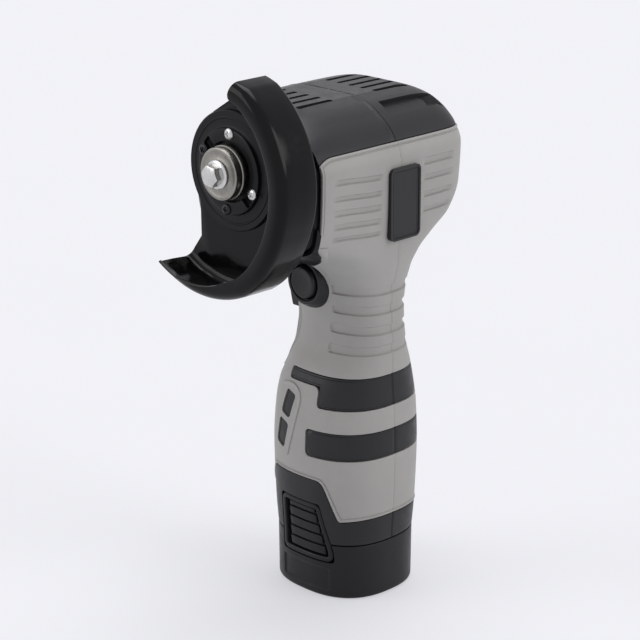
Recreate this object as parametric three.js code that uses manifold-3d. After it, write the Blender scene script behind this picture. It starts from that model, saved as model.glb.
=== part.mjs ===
// Cordless angle grinder for a 76 mm disc, pistol type, standing on its battery pack.
// Millimetres. Origin at the centre of the pack's underside, +Z up.
// The disc side is -Y, the palm side is +X and the trigger side is -X.
// The clamshell halves meet in the plane Y = 0.

import * as THREE from 'three';
import { mergeVertices } from 'three/addons/utils/BufferGeometryUtils.js';
import Module from 'manifold-3d';

const wasm = await Module();
wasm.setup();

// Clearances and overruns
const fit_gap = 0.3;
const seam_gap = 0.3;
const cut_overrun = 4;
const far_reach = 90;

// Spindle and head
const spindle_height = 193.7;
const spindle_setback = 10.7;
const head_half_width = 42.4;
const head_half_depth = 44;
const head_crown = 25.2;
const head_drop = 46.7;
const front_face_y = -45.3;

// Grip
const grip_half_width = 29.5;
const grip_half_depth = 28.5;
const joint_height = 25.4;
const neck_height = spindle_height - head_drop;

// Shell build-up
const skin_thickness = 1.6;
const shell_wall = 2.2;

// Grey sleeve and black bands
const cap_edge_height = 204.2;
const sleeve_bottom_height = 37.6;
const sleeve_step_height = 54.6;
const sleeve_step_near_x = 9;
const sleeve_step_far_x = 21.5;
const sleeve_step_front_x = -18;
const sleeve_step_front_end_x = -27;
const upper_band_bottom = 87.7;
const upper_band_top = 101.8;
const upper_band_start_x = 8;
const band_tail_height = 5.3;
const band_tail_start_x = -9.8;
const lower_band_bottom = 65.2;
const lower_band_top = 77.7;
const lower_band_start_x = 3.5;
const front_strip_half_width = 13;
const front_strip_top = 152;
const front_strip_rise = 1.5;
const front_strip_depth_x = -9;

// Grip grooves
const groove_count = 4;
const groove_pitch = 8.75;
const groove_width = 4.2;
const groove_depth = 0.8;
const lowest_groove_height = 113.2;
const groove_start_x = 9;

// Side grooves of the head, leaning down towards the plate on the near side
const side_groove_pitch = 5.9;
const side_groove_width = 2.2;
const side_groove_depth = 0.6;
const side_groove_lean = 2;
const side_groove_top = 193.8;
const near_groove_count = 5;
const near_groove_start_y = -38.5;
const near_groove_end_y = -11.2;
const far_groove_count = 4;
const far_groove_start_y = 14;
const far_groove_end_y = 32;

// Indicator windows on the near front corner
const window_drop = 5.5;
const window_top_height = upper_band_top - band_tail_height - window_drop;
const window_height = 11;
const window_width = 5;
const window_pitch = 13.4;
const window_top_x = -10;
const window_lean = 2.8;
const window_count = 2;

// Cap vents and shoulder channel
const vent_count = 5;
const vent_pitch = 6.9;
const vent_width = 2.4;
const vent_start_y = 11.2;
const vent_end_y = 32;
const vent_front_start_y = -13.2;
const vent_front_end_y = -33;
const channel_start_y = 5;
const channel_outer_x = 19.6;
const channel_inner_x = 12.6;
const channel_inner_height = 216.9;
const channel_outer_height = 212.7;
const channel_depth = 2.6;

// Lock button
const button_x = -3.5;
const button_height = 141;
const button_radius = 7;
const button_face_y = -24.6;
const button_length = 7;
const button_travel = 3;
const bezel_radius = 9.8;
const bezel_face_y = -23.2;
const bezel_root_y = -12;
const bezel_rim = 1.6;
const bezel_step = 1.1;
const lock_stem_radius = 3;
const lock_stem_length = 8;
const lock_spring_depth = 4.4;

// Trigger
const trigger_top = 147;
const trigger_bottom = 121.5;
const trigger_half_width = 7.6;
const trigger_face_x = -27.2;
const trigger_back_x = -14.6;
const trigger_belly = 2.4;
const trigger_plunger_radius = 2;
const trigger_travel = 4;
const trigger_guide_margin = 0.4;
const trigger_spring_depth = 6;

// Rating plate
const plate_width = 19.3;
const plate_height = 31;
const plate_centre_height = 179.3;
const plate_rise = 1.5;
const plate_inset = 0.7;
const plate_face_x = head_half_width - spindle_setback + plate_rise;
const plate_seat_x = head_half_width - spindle_setback - plate_inset;
const plate_corner = 2.6;
const plate_frame_width = 1;
const plate_frame_depth = 0.4;

// Nose, guard retainer and screws
const nose_front_y = -52.7;
const nose_taper = 8;
const nose_inset = 1.6;
const nose_front_radius = 40;
const nose_back_radius = 52;
const nose_spigot_radius = 16;
const nose_spigot_back_y = -40;
const collar_radius = 20;
const collar_front_y = -54.4;
const retainer_radius = 25.2;
const retainer_thickness = 1.2;
const retainer_ring_radius = 18;
const retainer_ring_rise = 2;
const retainer_bore = 12.6;
const retainer_notch_depth = 5;
const retainer_notch_width = 4.5;
const retainer_notch_angle_shares = [0.385, 0.885];
const retainer_screw_circle = 16;
const retainer_screw_angle_shares = [0.24, 0.43, 0.74, 0.93];
const retainer_screw_radius = 1.4;
const retainer_screw_head_radius = 2.4;
const retainer_screw_head_height = 0.7;
const retainer_screw_length = 9;

// Guard
const guard_radius = 47.7;
const guard_thickness = 1.5;
const guard_back_y = -53;
const guard_front_y = -73;
const guard_lip_radius = 39.6;
const guard_corner = 4;
const guard_rear_corner = 1.6;
const guard_start_degrees = -123.5;
const guard_end_degrees = 63;
const lip_fade_degrees = -74;
const lip_end_degrees = -124;

// Spindle stack
const shaft_radius = 5;
const shaft_front_y = -59.6;
const shaft_overhang = 0.4;
const inner_flange_radius = 11.4;
const inner_flange_front_y = -60;
const inner_flange_thickness = 1.9;
const inner_flange_hub_radius = 8;
const inner_flange_hub_back_y = -53.4;
const outer_flange_radius = 11;
const outer_flange_thickness = 2.9;
const outer_flange_edge = 0.4;
const bolt_flange_radius = 6;
const bolt_flange_thickness = 0.9;
const bolt_across_flats = 10;
const bolt_head_height = 4;
const bolt_shank_radius = 2.9;
const bolt_shank_length = 14;
const bolt_chamfer = 0.5;

// Motor, bearings and fan
const stator_radius = 20;
const stator_bore = 12.4;
const stator_front_y = -30;
const stator_slot_count = 12;
const stator_slot_width = 2.6;
const stator_slot_depth = 1.4;
const rotor_radius = 12;
const front_bearing_radius = 13;
const front_bearing_back_y = -44;
const bearing_width = 8;
const rear_bearing_radius = 11;
const rear_bearing_setback = 14.4;
const bearing_boss_wall = 2.2;
const motor_rib_half_height = 3;
const bearing_groove = 0.6;
const bearing_race = 2.2;
const fan_radius = 19;
const fan_depth = 9;
const fan_to_bearing = 2.1;
const fan_to_stator = 2.5;
const fan_plate = 1.4;
const fan_blade_count = 9;
const fan_blade_thickness = 1.1;
const fan_hub_radius = 7.5;
const rear_bearing_front_y = head_half_depth - rear_bearing_setback;
const shaft_back_y = rear_bearing_front_y + bearing_width + shaft_overhang;
const fan_back_y = rear_bearing_front_y - fan_to_bearing;
const fan_front_y = fan_back_y - fan_depth;
const stator_back_y = fan_front_y - fan_to_stator;

// Electrical pieces
const switch_front_x = -10;
const switch_back_x = 8;
const switch_half_width = 8;
const switch_bottom = 119;
const switch_top = 146;
const board_half_width = 12;
const board_bottom = 82;
const board_top = 101;
const board_thickness = 1.6;
const board_rib = 2;
const terminal_block_half_width = 13;
const terminal_block_half_depth = 6;
const terminal_block_bottom = 76.2;
const terminal_block_top = 81.4;

// Housing screws, driven from the far side
const screw_radius = 1.5;
const screw_head_radius = 2.9;
const screw_head_height = 2.4;
const screw_head_y = 12.4;
const screw_tip_y = -10;
const screw_boss_radius = 3.6;
const screw_counterbore_radius = 3.4;
// Places across from the spindle and up, as shares of the head's half width and the spindle's height
const head_screw_place_shares = [
  [0.724, 0.867],
  [-0.644, 0.888],
  [0.724, 0.779],
];
// Places across and up, as shares of the grip's half width and the spindle's height
const grip_screw_place_shares = [
  [0.542, 0.55],
  [-0.407, 0.55],
];

// Battery pack
const pack_half_width = 27.6;
const pack_half_depth = 25.8;
const pack_foot_chamfer = 1.2;
const pack_wall = 1.8;
const pack_base_thickness = 3;
const stem_radius = 22.2;
const stem_top = 75.2;
const cell_radius = 9.2;
const cell_length = 65;
const cell_bottom = 6;
const pack_board_height = 71.4;
const pack_board_thickness = 1.2;
const terminal_width = 6;
const terminal_thickness = 0.8;
const terminal_spacing = 7;
const terminal_rise = 5;
const terminal_foot = 2;
const latch_left_x = -12.8;
const latch_top_right_x = 7.8;
const latch_right_x = 14.6;
const latch_top = 42.6;
const latch_shoulder = 26;
const latch_bottom = 17.6;
const latch_frame = 2.2;
const latch_plate_thickness = 1.8;
const latch_pocket_depth = 4.3;
const latch_recess = 0.4;
const latch_rib_count = 5;
const latch_rib_height = 0.9;
const latch_travel = 1.5;

// Springs
const spring_wire = 0.4;
const leaf_thickness = 0.4;
const leaf_length = 12;
const leaf_width = 6;
const trigger_spring_radius = 3.4;
const lock_spring_radius = 4.4;

// Superellipse powers of the sections
const base_power = 2.5;

const spindle_x = -spindle_setback;
const full_turn = 2 * Math.PI;
const degree = Math.PI / 180;

// Turning geometry into solids and back

function solid(geometry) {
  const bare = geometry.index ? geometry.toNonIndexed() : geometry.clone();
  for (const name of Object.keys(bare.attributes)) {
    if (name !== 'position') bare.deleteAttribute(name);
  }
  const merged = mergeVertices(bare, 1e-4);
  const mesh = new wasm.Mesh({
    numProp: 3,
    vertProperties: new Float32Array(merged.attributes.position.array),
    triVerts: new Uint32Array(merged.index.array),
  });
  return new wasm.Manifold(mesh);
}

function geometryOf(manifold) {
  const mesh = manifold.getMesh();
  const geometry = new THREE.BufferGeometry();
  geometry.setAttribute('position', new THREE.BufferAttribute(mesh.vertProperties, 3));
  geometry.setIndex(new THREE.BufferAttribute(mesh.triVerts, 1));
  const flat = geometry.toNonIndexed();
  flat.computeVertexNormals();
  return flat;
}

// Basic solids

function blockGeometry(low, high) {
  const size = high.map((value, axis) => value - low[axis]);
  const geometry = new THREE.BoxGeometry(...size);
  geometry.translate(...high.map((value, axis) => (value + low[axis]) / 2));
  return geometry;
}

function block(low, high) {
  return solid(blockGeometry(low, high));
}

// A block turned about the spindle axis from +X towards +Z, by an angle in radians.
function turnedBlock(low, high, angle) {
  const geometry = blockGeometry(low, high);
  geometry.translate(-spindle_x, 0, -spindle_height);
  geometry.rotateY(-angle);
  geometry.translate(spindle_x, 0, spindle_height);
  return solid(geometry);
}

function outlineShape(points) {
  return new THREE.Shape(points.map(([across, up]) => new THREE.Vector2(across, up)));
}

// An outline in X and Z, carried along Y.
function prismAlongY(points, lowY, highY) {
  const geometry = new THREE.ExtrudeGeometry(outlineShape(points), {
    depth: highY - lowY, bevelEnabled: false, steps: 1,
  });
  geometry.rotateX(Math.PI / 2);
  geometry.translate(0, highY, 0);
  return solid(geometry);
}

// An outline in Y and Z, carried along X.
function prismAlongX(points, lowX, highX) {
  const geometry = new THREE.ExtrudeGeometry(outlineShape(points), {
    depth: highX - lowX, bevelEnabled: false, steps: 1,
  });
  geometry.rotateX(Math.PI / 2);
  geometry.rotateZ(Math.PI / 2);
  geometry.translate(lowX, 0, 0);
  return solid(geometry);
}

// An outline in X and Y, carried along Z.
function prismAlongZ(points, lowZ, highZ) {
  const geometry = new THREE.ExtrudeGeometry(outlineShape(points), {
    depth: highZ - lowZ, bevelEnabled: false, steps: 1,
  });
  geometry.translate(0, 0, lowZ);
  return solid(geometry);
}

// A profile of [radius, y] turned about an axis along Y.
function turned(profile, centreX, centreZ, segments) {
  const points = profile.map(([radius, y]) => new THREE.Vector2(radius, y));
  const geometry = new THREE.LatheGeometry(points, segments);
  geometry.translate(centreX, 0, centreZ);
  return solid(geometry);
}

function rodAlongY(radius, lowY, highY, centreX, centreZ, segments = 32) {
  const profile = [[0, lowY], [radius, lowY], [radius, highY], [0, highY]];
  return turned(profile, centreX, centreZ, segments);
}

function spindleRod(radius, lowY, highY, segments = 48) {
  return rodAlongY(radius, lowY, highY, spindle_x, spindle_height, segments);
}

function rodAlongZ(radius, lowZ, highZ, centreX, centreY, segments = 32) {
  const geometry = new THREE.CylinderGeometry(radius, radius, highZ - lowZ, segments);
  geometry.rotateX(Math.PI / 2);
  geometry.translate(centreX, centreY, (lowZ + highZ) / 2);
  return solid(geometry);
}

function rodAlongX(radius, lowX, highX, centreY, centreZ, segments = 24) {
  const geometry = new THREE.CylinderGeometry(radius, radius, highX - lowX, segments);
  geometry.rotateZ(Math.PI / 2);
  geometry.translate((lowX + highX) / 2, centreY, centreZ);
  return solid(geometry);
}

function ringAlongY(outer, inner, lowY, highY, segments = 48) {
  const hole = spindleRod(inner, lowY - cut_overrun, highY + cut_overrun, segments);
  return spindleRod(outer, lowY, highY, segments).subtract(hole);
}

// A rounded rectangle's outline, centred at [across, up].
function roundedOutline(width, height, corner, across, up, steps = 4) {
  const points = [];
  for (let quarter = 0; quarter < 4; quarter += 1) {
    const signAcross = quarter === 0 || quarter === 3 ? 1 : -1;
    const signUp = quarter < 2 ? 1 : -1;
    for (let step = 0; step <= steps; step += 1) {
      const angle = (quarter + step / steps) * Math.PI / 2;
      points.push([
        across + signAcross * (width / 2 - corner) + corner * Math.cos(angle),
        up + signUp * (height / 2 - corner) + corner * Math.sin(angle),
      ]);
    }
  }
  return points;
}

// A coil spring along Z from zero to its length, closed at both wire ends.
function coil(radius, wire, length, turns) {
  const steps = turns * 8;
  const sides = 4;
  const positions = [];
  const index = [];
  for (let step = 0; step <= steps; step += 1) {
    const angle = full_turn * turns * step / steps;
    const along = wire + (length - 2 * wire) * step / steps;
    const centre = new THREE.Vector3(radius * Math.cos(angle), radius * Math.sin(angle), along);
    const outward = new THREE.Vector3(Math.cos(angle), Math.sin(angle), 0);
    for (let side = 0; side < sides; side += 1) {
      const turn = full_turn * side / sides;
      const point = centre.clone().addScaledVector(outward, wire * Math.cos(turn));
      point.z += wire * Math.sin(turn);
      positions.push(point.x, point.y, point.z);
    }
  }
  for (let step = 0; step < steps; step += 1) {
    for (let side = 0; side < sides; side += 1) {
      const here = step * sides + side;
      const next = step * sides + (side + 1) % sides;
      index.push(here, here + sides, next);
      index.push(next, here + sides, next + sides);
    }
  }
  for (let side = 1; side < sides - 1; side += 1) {
    const last = steps * sides;
    index.push(0, side, side + 1);
    index.push(last, last + side + 1, last + side);
  }
  const geometry = new THREE.BufferGeometry();
  geometry.setAttribute('position', new THREE.BufferAttribute(new Float32Array(positions), 3));
  geometry.setIndex(index);
  return geometry;
}

// The outer form: horizontal sections from the pack joint to the crown.
// Columns: height, back (+X) reach, front (-X) reach, near and far depth, and the section's power.
// Grip heights are shares of the way from joint to neck; reaches of the grip's half width and depth.
const grip_section_shares = [
  [0.0, 0.96, 0.96, 0.944, 0.944, 2.5],
  [0.33, 1.015, 1.015, 1.0, 1.0, 2.5],
  [0.474, 0.995, 0.98, 0.972, 0.972, 2.5],
  [0.556, 0.966, 0.925, 0.918, 0.918, 2.5],
  [0.638, 0.942, 0.815, 0.81, 0.81, 2.5],
  [0.712, 0.945, 0.765, 0.67, 0.67, 2.5],
  [0.794, 0.929, 0.735, 0.62, 0.62, 2.5],
  [0.93, 0.925, 0.75, 0.675, 0.675, 2.5],
];
// Head heights are shares of the drop below the spindle, or of the crown above it.
// Reaches are from the spindle axis, in head half widths; near depths are shares of the nose's
// distance from the seam, far depths of the head's half depth.
// The last column says how a thinner shell's section moves: up for the flare, down for the crown.
const head_section_shares = [
  [-1.0, 0.943, 0.34, 0.409, 0.49, 2.5, 0.7],
  [-0.861, 0.969, 0.5, 0.551, 0.66, 2.6, 0.8],
  [-0.721, 0.977, 0.69, 0.877, 0.9, 3.2, 0.8],
  [-0.55, 0.988, 0.86, 1.135, 1.0, 5, 0.5],
  [0.12, 1.0, 0.955, 1.135, 1.002, 8, 0],
  [0.415, 0.918, 0.9, 1.119, 0.99, 8, -0.5],
  [0.587, 0.834, 0.83, 1.002, 0.967, 8, -0.7],
  [0.77, 0.704, 0.704, 0.877, 0.943, 7, -0.8],
  [0.93, 0.538, 0.538, 0.777, 0.9, 6, -0.9],
  [1.0, 0.36, 0.36, 0.718, 0.84, 5, -1],
];
const front_corner_power = 3;

function bodySections(inset) {
  const sections = grip_section_shares.map(([rise, back, front, near, far, power]) => ({
    height: joint_height + rise * (neck_height - joint_height),
    back: back * grip_half_width - inset,
    front: front * grip_half_width - inset,
    near: near * grip_half_depth - inset,
    far: far * grip_half_depth - inset,
    power,
    cornerPower: power,
  }));
  for (const [rise, back, front, near, far, power, shift] of head_section_shares) {
    const reach = rise < 0 ? head_drop : head_crown;
    sections.push({
      height: spindle_height + rise * reach + shift * inset,
      back: back * head_half_width - spindle_setback - inset,
      front: front * head_half_width + spindle_setback - inset,
      near: -near * nose_front_y - inset,
      far: far * head_half_depth - inset,
      power,
      cornerPower: Math.min(power, front_corner_power),
    });
  }
  return sections;
}

// A ring of points round a section; the near front corner has its own power.
function sectionRing(section, count) {
  const centre = (section.back - section.front) / 2;
  const half = (section.back + section.front) / 2;
  const ring = [];
  for (let step = 0; step < count; step += 1) {
    const angle = full_turn * step / count;
    const cosine = Math.cos(angle);
    const sine = Math.sin(angle);
    const power = cosine < 0 && sine < 0 ? section.cornerPower : section.power;
    const depth = sine < 0 ? section.near : section.far;
    ring.push([
      centre + half * Math.sign(cosine) * Math.abs(cosine) ** (2 / power),
      depth * Math.sign(sine) * Math.abs(sine) ** (2 / power),
      section.height,
    ]);
  }
  return ring;
}

function loft(rings) {
  const count = rings[0].length;
  const positions = [];
  const index = [];
  for (const ring of rings) {
    for (const point of ring) positions.push(...point);
  }
  for (let level = 0; level < rings.length - 1; level += 1) {
    for (let step = 0; step < count; step += 1) {
      const here = level * count + step;
      const next = level * count + (step + 1) % count;
      index.push(here, next, next + count);
      index.push(here, next + count, here + count);
    }
  }
  const bottom = rings.length * count;
  for (const ring of [rings[0], rings[rings.length - 1]]) {
    const middle = [0, 1, 2].map((axis) => ring.reduce((sum, point) => sum + point[axis], 0) / count);
    positions.push(...middle);
  }
  const lastLevel = (rings.length - 1) * count;
  for (let step = 0; step < count; step += 1) {
    const next = (step + 1) % count;
    index.push(bottom, next, step);
    index.push(bottom + 1, lastLevel + step, lastLevel + next);
  }
  const geometry = new THREE.BufferGeometry();
  geometry.setAttribute('position', new THREE.BufferAttribute(new Float32Array(positions), 3));
  geometry.setIndex(index);
  return solid(geometry);
}

const ring_points = 20;
const cavity_points = 16;
const front_limit = block(
  [-far_reach * 2, front_face_y, -far_reach],
  [far_reach * 2, far_reach * 2, far_reach * 4],
);

function bodyForm(inset) {
  return loft(bodySections(inset).map((section) => sectionRing(section, ring_points)));
}

// The hollow takes every other section, and its own last one.
function cavityForm(inset) {
  const sections = bodySections(inset);
  const kept = sections.filter((section, level) => level % 2 === 0 || level === sections.length - 1);
  return loft(kept.map((section) => sectionRing(section, cavity_points)));
}

const outer_form = bodyForm(0);
const under_skin_form = bodyForm(skin_thickness);
const shell_form = bodyForm(skin_thickness + fit_gap);
const cavity_form = cavityForm(skin_thickness + fit_gap + shell_wall);

// The pack's own form below the joint

function packSection(height, width, depth) {
  return {
    height, back: width, front: width, near: depth, far: depth, power: base_power, cornerPower: base_power,
  };
}

const pack_top_half_width = pack_half_width + 0.7 * fit_gap;
const pack_top_half_depth = pack_half_depth + 3 * fit_gap;

function packForm(inset, lowZ, highZ) {
  const foot = [
    pack_half_width - pack_foot_chamfer - inset, pack_half_depth - pack_foot_chamfer - inset,
  ];
  return loft([
    packSection(lowZ, foot[0], foot[1]),
    packSection(lowZ + pack_foot_chamfer, pack_half_width - inset, pack_half_depth - inset),
    packSection(highZ, pack_top_half_width - inset, pack_top_half_depth - inset),
  ].map((section) => sectionRing(section, ring_points)));
}

// The latch's outline, and the larger ones of the tongue and notch round it, as seen from -Y.
function latchOutline(grow) {
  return [
    [latch_left_x - grow, latch_bottom - grow],
    [latch_right_x + grow, latch_bottom - grow],
    [latch_right_x + grow, latch_shoulder],
    [latch_top_right_x + grow, latch_top + grow],
    [latch_left_x - grow, latch_top + grow],
  ];
}

// Regions of the body

// The grey area, seen from the side, grown by the given margin.
function greyRegion(grow) {
  const sides = [
    [-far_reach, sleeve_bottom_height - grow],
    [sleeve_step_front_end_x + grow, sleeve_bottom_height - grow],
    [sleeve_step_front_x + grow, sleeve_step_height - grow],
    [sleeve_step_near_x - grow, sleeve_step_height - grow],
    [sleeve_step_far_x - grow, sleeve_bottom_height - grow],
    [far_reach, sleeve_bottom_height - grow],
    [far_reach, cap_edge_height + grow],
    [-far_reach, cap_edge_height + grow],
  ];
  let region = prismAlongY(sides, -far_reach, far_reach);
  const upper = bandBox(upper_band_start_x, upper_band_bottom, upper_band_top, grow);
  const tail = block(
    [band_tail_start_x + grow, -far_reach - cut_overrun, upper_band_top - band_tail_height + grow],
    [upper_band_start_x + cut_overrun, far_reach + cut_overrun, upper_band_top - grow],
  );
  const lower = bandBox(lower_band_start_x, lower_band_bottom, lower_band_top, grow);
  const strip = block(
    [
      -far_reach - cut_overrun, -front_strip_half_width + grow,
      upper_band_top - band_tail_height + front_strip_rise + grow,
    ],
    [front_strip_depth_x - grow, front_strip_half_width - grow, front_strip_top - grow],
  );
  const button = rodAlongY(
    bezel_radius + fit_gap - grow, -far_reach - cut_overrun, 0, button_x, button_height, 28,
  );
  for (const cut of [upper, tail, lower, strip, button]) region = region.subtract(cut);
  for (let number = 0; number < window_count; number += 1) {
    region = region.subtract(windowPrism(number, grow));
  }
  return region;
}

function bandBox(startX, bottom, top, grow) {
  return block(
    [startX + grow, -far_reach - cut_overrun, bottom + grow],
    [far_reach + cut_overrun, far_reach + cut_overrun, top - grow],
  );
}

function windowPrism(number, grow) {
  const top = window_top_height - number * window_pitch - grow;
  const bottom = window_top_height - number * window_pitch - window_height + grow;
  const topX = window_top_x - number * window_lean;
  const outline = [
    [topX - window_lean + grow, bottom],
    [topX - window_lean + window_width - grow, bottom],
    [topX + window_width - grow, top],
    [topX + grow, top],
  ];
  return prismAlongY(outline, -far_reach - cut_overrun, 0);
}

const near_half = block(
  [-far_reach * 2, -far_reach * 2, -far_reach], [far_reach * 2, -seam_gap / 2, far_reach * 4],
);
const far_half = block(
  [-far_reach * 2, seam_gap / 2, -far_reach], [far_reach * 2, far_reach * 2, far_reach * 4],
);

// Cuts that both the shell and the sleeve share

function slotOutline(grow) {
  return [
    [trigger_half_width + grow, trigger_bottom - grow],
    [trigger_half_width + grow, trigger_top + grow],
    [-trigger_half_width - grow, trigger_top + grow],
    [-trigger_half_width - grow, trigger_bottom - grow],
  ];
}

const plate_pocket = prismAlongX(
  roundedOutline(
    plate_width + 2 * fit_gap, plate_height + 2 * fit_gap, plate_corner + fit_gap, 0, plate_centre_height,
  ),
  plate_seat_x - fit_gap, far_reach,
);

const screw_places = [
  ...head_screw_place_shares.map(([across, up]) => [
    spindle_x + across * head_half_width, up * spindle_height,
  ]),
  ...grip_screw_place_shares.map(([across, up]) => [across * grip_half_width, up * spindle_height]),
];

function screwHoles(radius, lowY, highY) {
  return screw_places.map(([x, z]) => rodAlongY(radius, lowY, highY, x, z, 12));
}

// Black shell

function makeShell() {
  const grown = greyRegion(fit_gap);
  let shell = outer_form.subtract(grown.subtract(shell_form));
  const cavity = cavity_form.add(rodAlongZ(
    stem_radius + fit_gap, joint_height - cut_overrun, stem_top + fit_gap, 0, 0, 48,
  ));
  shell = shell.intersect(front_limit).subtract(cavity);
  for (const [x, z] of screw_places) {
    const boss = rodAlongY(screw_boss_radius, -far_reach, far_reach, x, z, 12);
    shell = shell.add(boss.intersect(shell_form).intersect(front_limit));
  }
  shell = shell.subtract(spindleRod(
    nose_spigot_radius + fit_gap, front_face_y - cut_overrun, nose_spigot_back_y + fit_gap, 28,
  ));
  shell = shell.add(makeRearBearingBoss());
  shell = shell.subtract(buttonBore()).add(makeBezel());
  shell = shell.add(makeMotorRibs());
  for (const hole of screwHoles(screw_radius + fit_gap, screw_tip_y - fit_gap, far_reach)) {
    shell = shell.subtract(hole);
  }
  const heads = screwHoles(screw_counterbore_radius, screw_head_y - screw_head_height - fit_gap, far_reach);
  for (const hole of heads) shell = shell.subtract(hole);
  for (const cut of capCuts()) shell = shell.subtract(cut);
  shell = shell.subtract(prismAlongX(slotOutline(trigger_guide_margin), -far_reach, 0));
  shell = shell.subtract(prismAlongY(latchOutline(latch_frame + fit_gap), -far_reach, far_reach)
    .subtract(rodAlongZ(stem_radius + fit_gap, 0, latch_top + far_reach, 0, 0, 48)));
  return shell;
}

function capCuts() {
  const cuts = [];
  for (let number = 0; number < vent_count; number += 1) {
    const centre = spindle_x + (number - (vent_count - 1) / 2) * vent_pitch;
    for (const [low, high] of [[vent_start_y, vent_end_y], [vent_front_end_y, vent_front_start_y]]) {
      cuts.push(block(
        [centre - vent_width / 2, low, spindle_height + stator_radius + fit_gap],
        [centre + vent_width / 2, high, spindle_height + head_crown + cut_overrun],
      ));
    }
  }
  for (const side of [1, -1]) {
    const place = (x) => spindle_x + side * (x - spindle_x);
    const lift = channel_depth * 2;
    const outline = [
      [place(channel_inner_x), channel_inner_height - channel_depth],
      [place(channel_outer_x), channel_outer_height - channel_depth],
      [place(channel_outer_x + lift / 2), channel_outer_height + lift],
      [place(channel_inner_x + lift / 2), channel_inner_height + lift],
    ];
    if (side < 0) outline.reverse();
    cuts.push(prismAlongY(outline, channel_start_y, far_reach));
  }
  return cuts;
}

function makeRearBearingBoss() {
  const outer = rear_bearing_radius + bearing_boss_wall;
  const boss = spindleRod(outer, rear_bearing_front_y, head_half_depth * 2, 28).intersect(shell_form);
  const pocket = spindleRod(
    rear_bearing_radius + fit_gap, rear_bearing_front_y - cut_overrun,
    rear_bearing_front_y + bearing_width + fit_gap, 28,
  );
  return boss.subtract(pocket);
}

// Ribs from the side walls that hold the motor can in each half.
function makeMotorRibs() {
  let ribs = null;
  for (const y of [stator_front_y + bearing_width, stator_back_y - bearing_width]) {
    const rib = block(
      [-far_reach, y - shell_wall / 2, spindle_height - motor_rib_half_height],
      [far_reach, y + shell_wall / 2, spindle_height + motor_rib_half_height],
    ).intersect(shell_form).subtract(spindleRod(
      stator_radius + fit_gap, y - cut_overrun, y + cut_overrun, 48,
    ));
    ribs = ribs ? ribs.add(rib) : rib;
  }
  return ribs;
}

// The stepped round seat of the lock button, joined to the near wall.
function makeBezel() {
  const rim = rodAlongY(bezel_radius, bezel_face_y, bezel_root_y, button_x, button_height, 28);
  const step = rodAlongY(
    bezel_radius - bezel_rim, bezel_face_y - cut_overrun, bezel_face_y + bezel_step,
    button_x, button_height, 28,
  );
  const stem_hole = rodAlongY(
    lock_stem_radius + fit_gap, -far_reach, 0, button_x, button_height, 20,
  );
  return rim.subtract(step).subtract(buttonBore()).subtract(stem_hole);
}

function buttonBore() {
  return rodAlongY(
    button_radius + fit_gap, -far_reach, button_face_y + button_length + button_travel + fit_gap,
    button_x, button_height, 28,
  );
}

// Grey sleeves

function grooveCutter() {
  let cutter = null;
  const floor = bodyForm(groove_depth);
  for (let number = 0; number < groove_count; number += 1) {
    const middle = lowest_groove_height + number * groove_pitch;
    const band = block(
      [groove_start_x, -far_reach, middle - groove_width / 2],
      [far_reach, far_reach, middle + groove_width / 2],
    ).subtract(floor);
    cutter = cutter ? cutter.add(band) : band;
  }
  return cutter;
}

// Shallow grooves along both side faces of the head: five before the seam and four behind it.
function sideGrooveCutter() {
  let cutter = null;
  const groups = [
    [near_groove_count, near_groove_start_y, near_groove_end_y, side_groove_lean],
    [far_groove_count, far_groove_start_y, far_groove_end_y, 0],
  ];
  for (const [count, startY, endY, lean] of groups) {
    for (let number = 0; number < count; number += 1) {
      const top = side_groove_top - number * side_groove_pitch;
      const bottom = top - side_groove_width;
      const outline = [
        [startY, bottom], [endY, bottom - lean], [endY, top - lean], [startY, top],
      ];
      const groove = prismAlongX(outline, -far_reach, far_reach);
      cutter = cutter ? cutter.add(groove) : groove;
    }
  }
  return cutter.subtract(bodyForm(side_groove_depth));
}

function makeSleeve() {
  let sleeve = outer_form.subtract(under_skin_form).intersect(greyRegion(0)).intersect(front_limit);
  sleeve = sleeve.subtract(grooveCutter()).subtract(sideGrooveCutter());
  sleeve = sleeve.subtract(plate_pocket);
  for (const hole of screwHoles(screw_counterbore_radius, 0, far_reach)) sleeve = sleeve.subtract(hole);
  return sleeve;
}

const shell = makeShell();
const sleeve = makeSleeve();

// Nose, retainer and their screws

function makeNose() {
  const slab = block(
    [-far_reach * 2, nose_front_y, -far_reach], [far_reach * 2, front_face_y - fit_gap, far_reach * 4],
  );
  const taper = turned([
    [0, nose_front_y - fit_gap], [nose_front_radius - nose_taper, nose_front_y - fit_gap],
    [nose_front_radius, nose_front_y + nose_taper / 4],
    [nose_back_radius, front_face_y + fit_gap], [0, front_face_y + fit_gap],
  ], spindle_x, spindle_height, 36);
  let nose = bodyForm(nose_inset).intersect(slab).intersect(taper);
  nose = nose.add(spindleRod(collar_radius, collar_front_y, nose_front_y + cut_overrun, 36));
  nose = nose.add(spindleRod(nose_spigot_radius, front_face_y - cut_overrun, nose_spigot_back_y, 28));
  const pocket_front = front_bearing_back_y - bearing_width - fit_gap;
  nose = nose.subtract(spindleRod(front_bearing_radius + fit_gap, pocket_front, far_reach, 28));
  nose = nose.subtract(spindleRod(inner_flange_hub_radius + fit_gap, -far_reach, pocket_front + fit_gap, 28));
  for (const hole of retainerScrews(retainer_screw_radius + fit_gap)) nose = nose.subtract(hole);
  return nose;
}

function retainerScrewPlace(share) {
  return [
    spindle_x + retainer_screw_circle * Math.cos(full_turn * share),
    spindle_height + retainer_screw_circle * Math.sin(full_turn * share),
  ];
}

const retainer_back_y = collar_front_y - fit_gap;
const retainer_front_y = retainer_back_y - retainer_thickness;
const retainer_ring_front_y = retainer_front_y - retainer_ring_rise;

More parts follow.
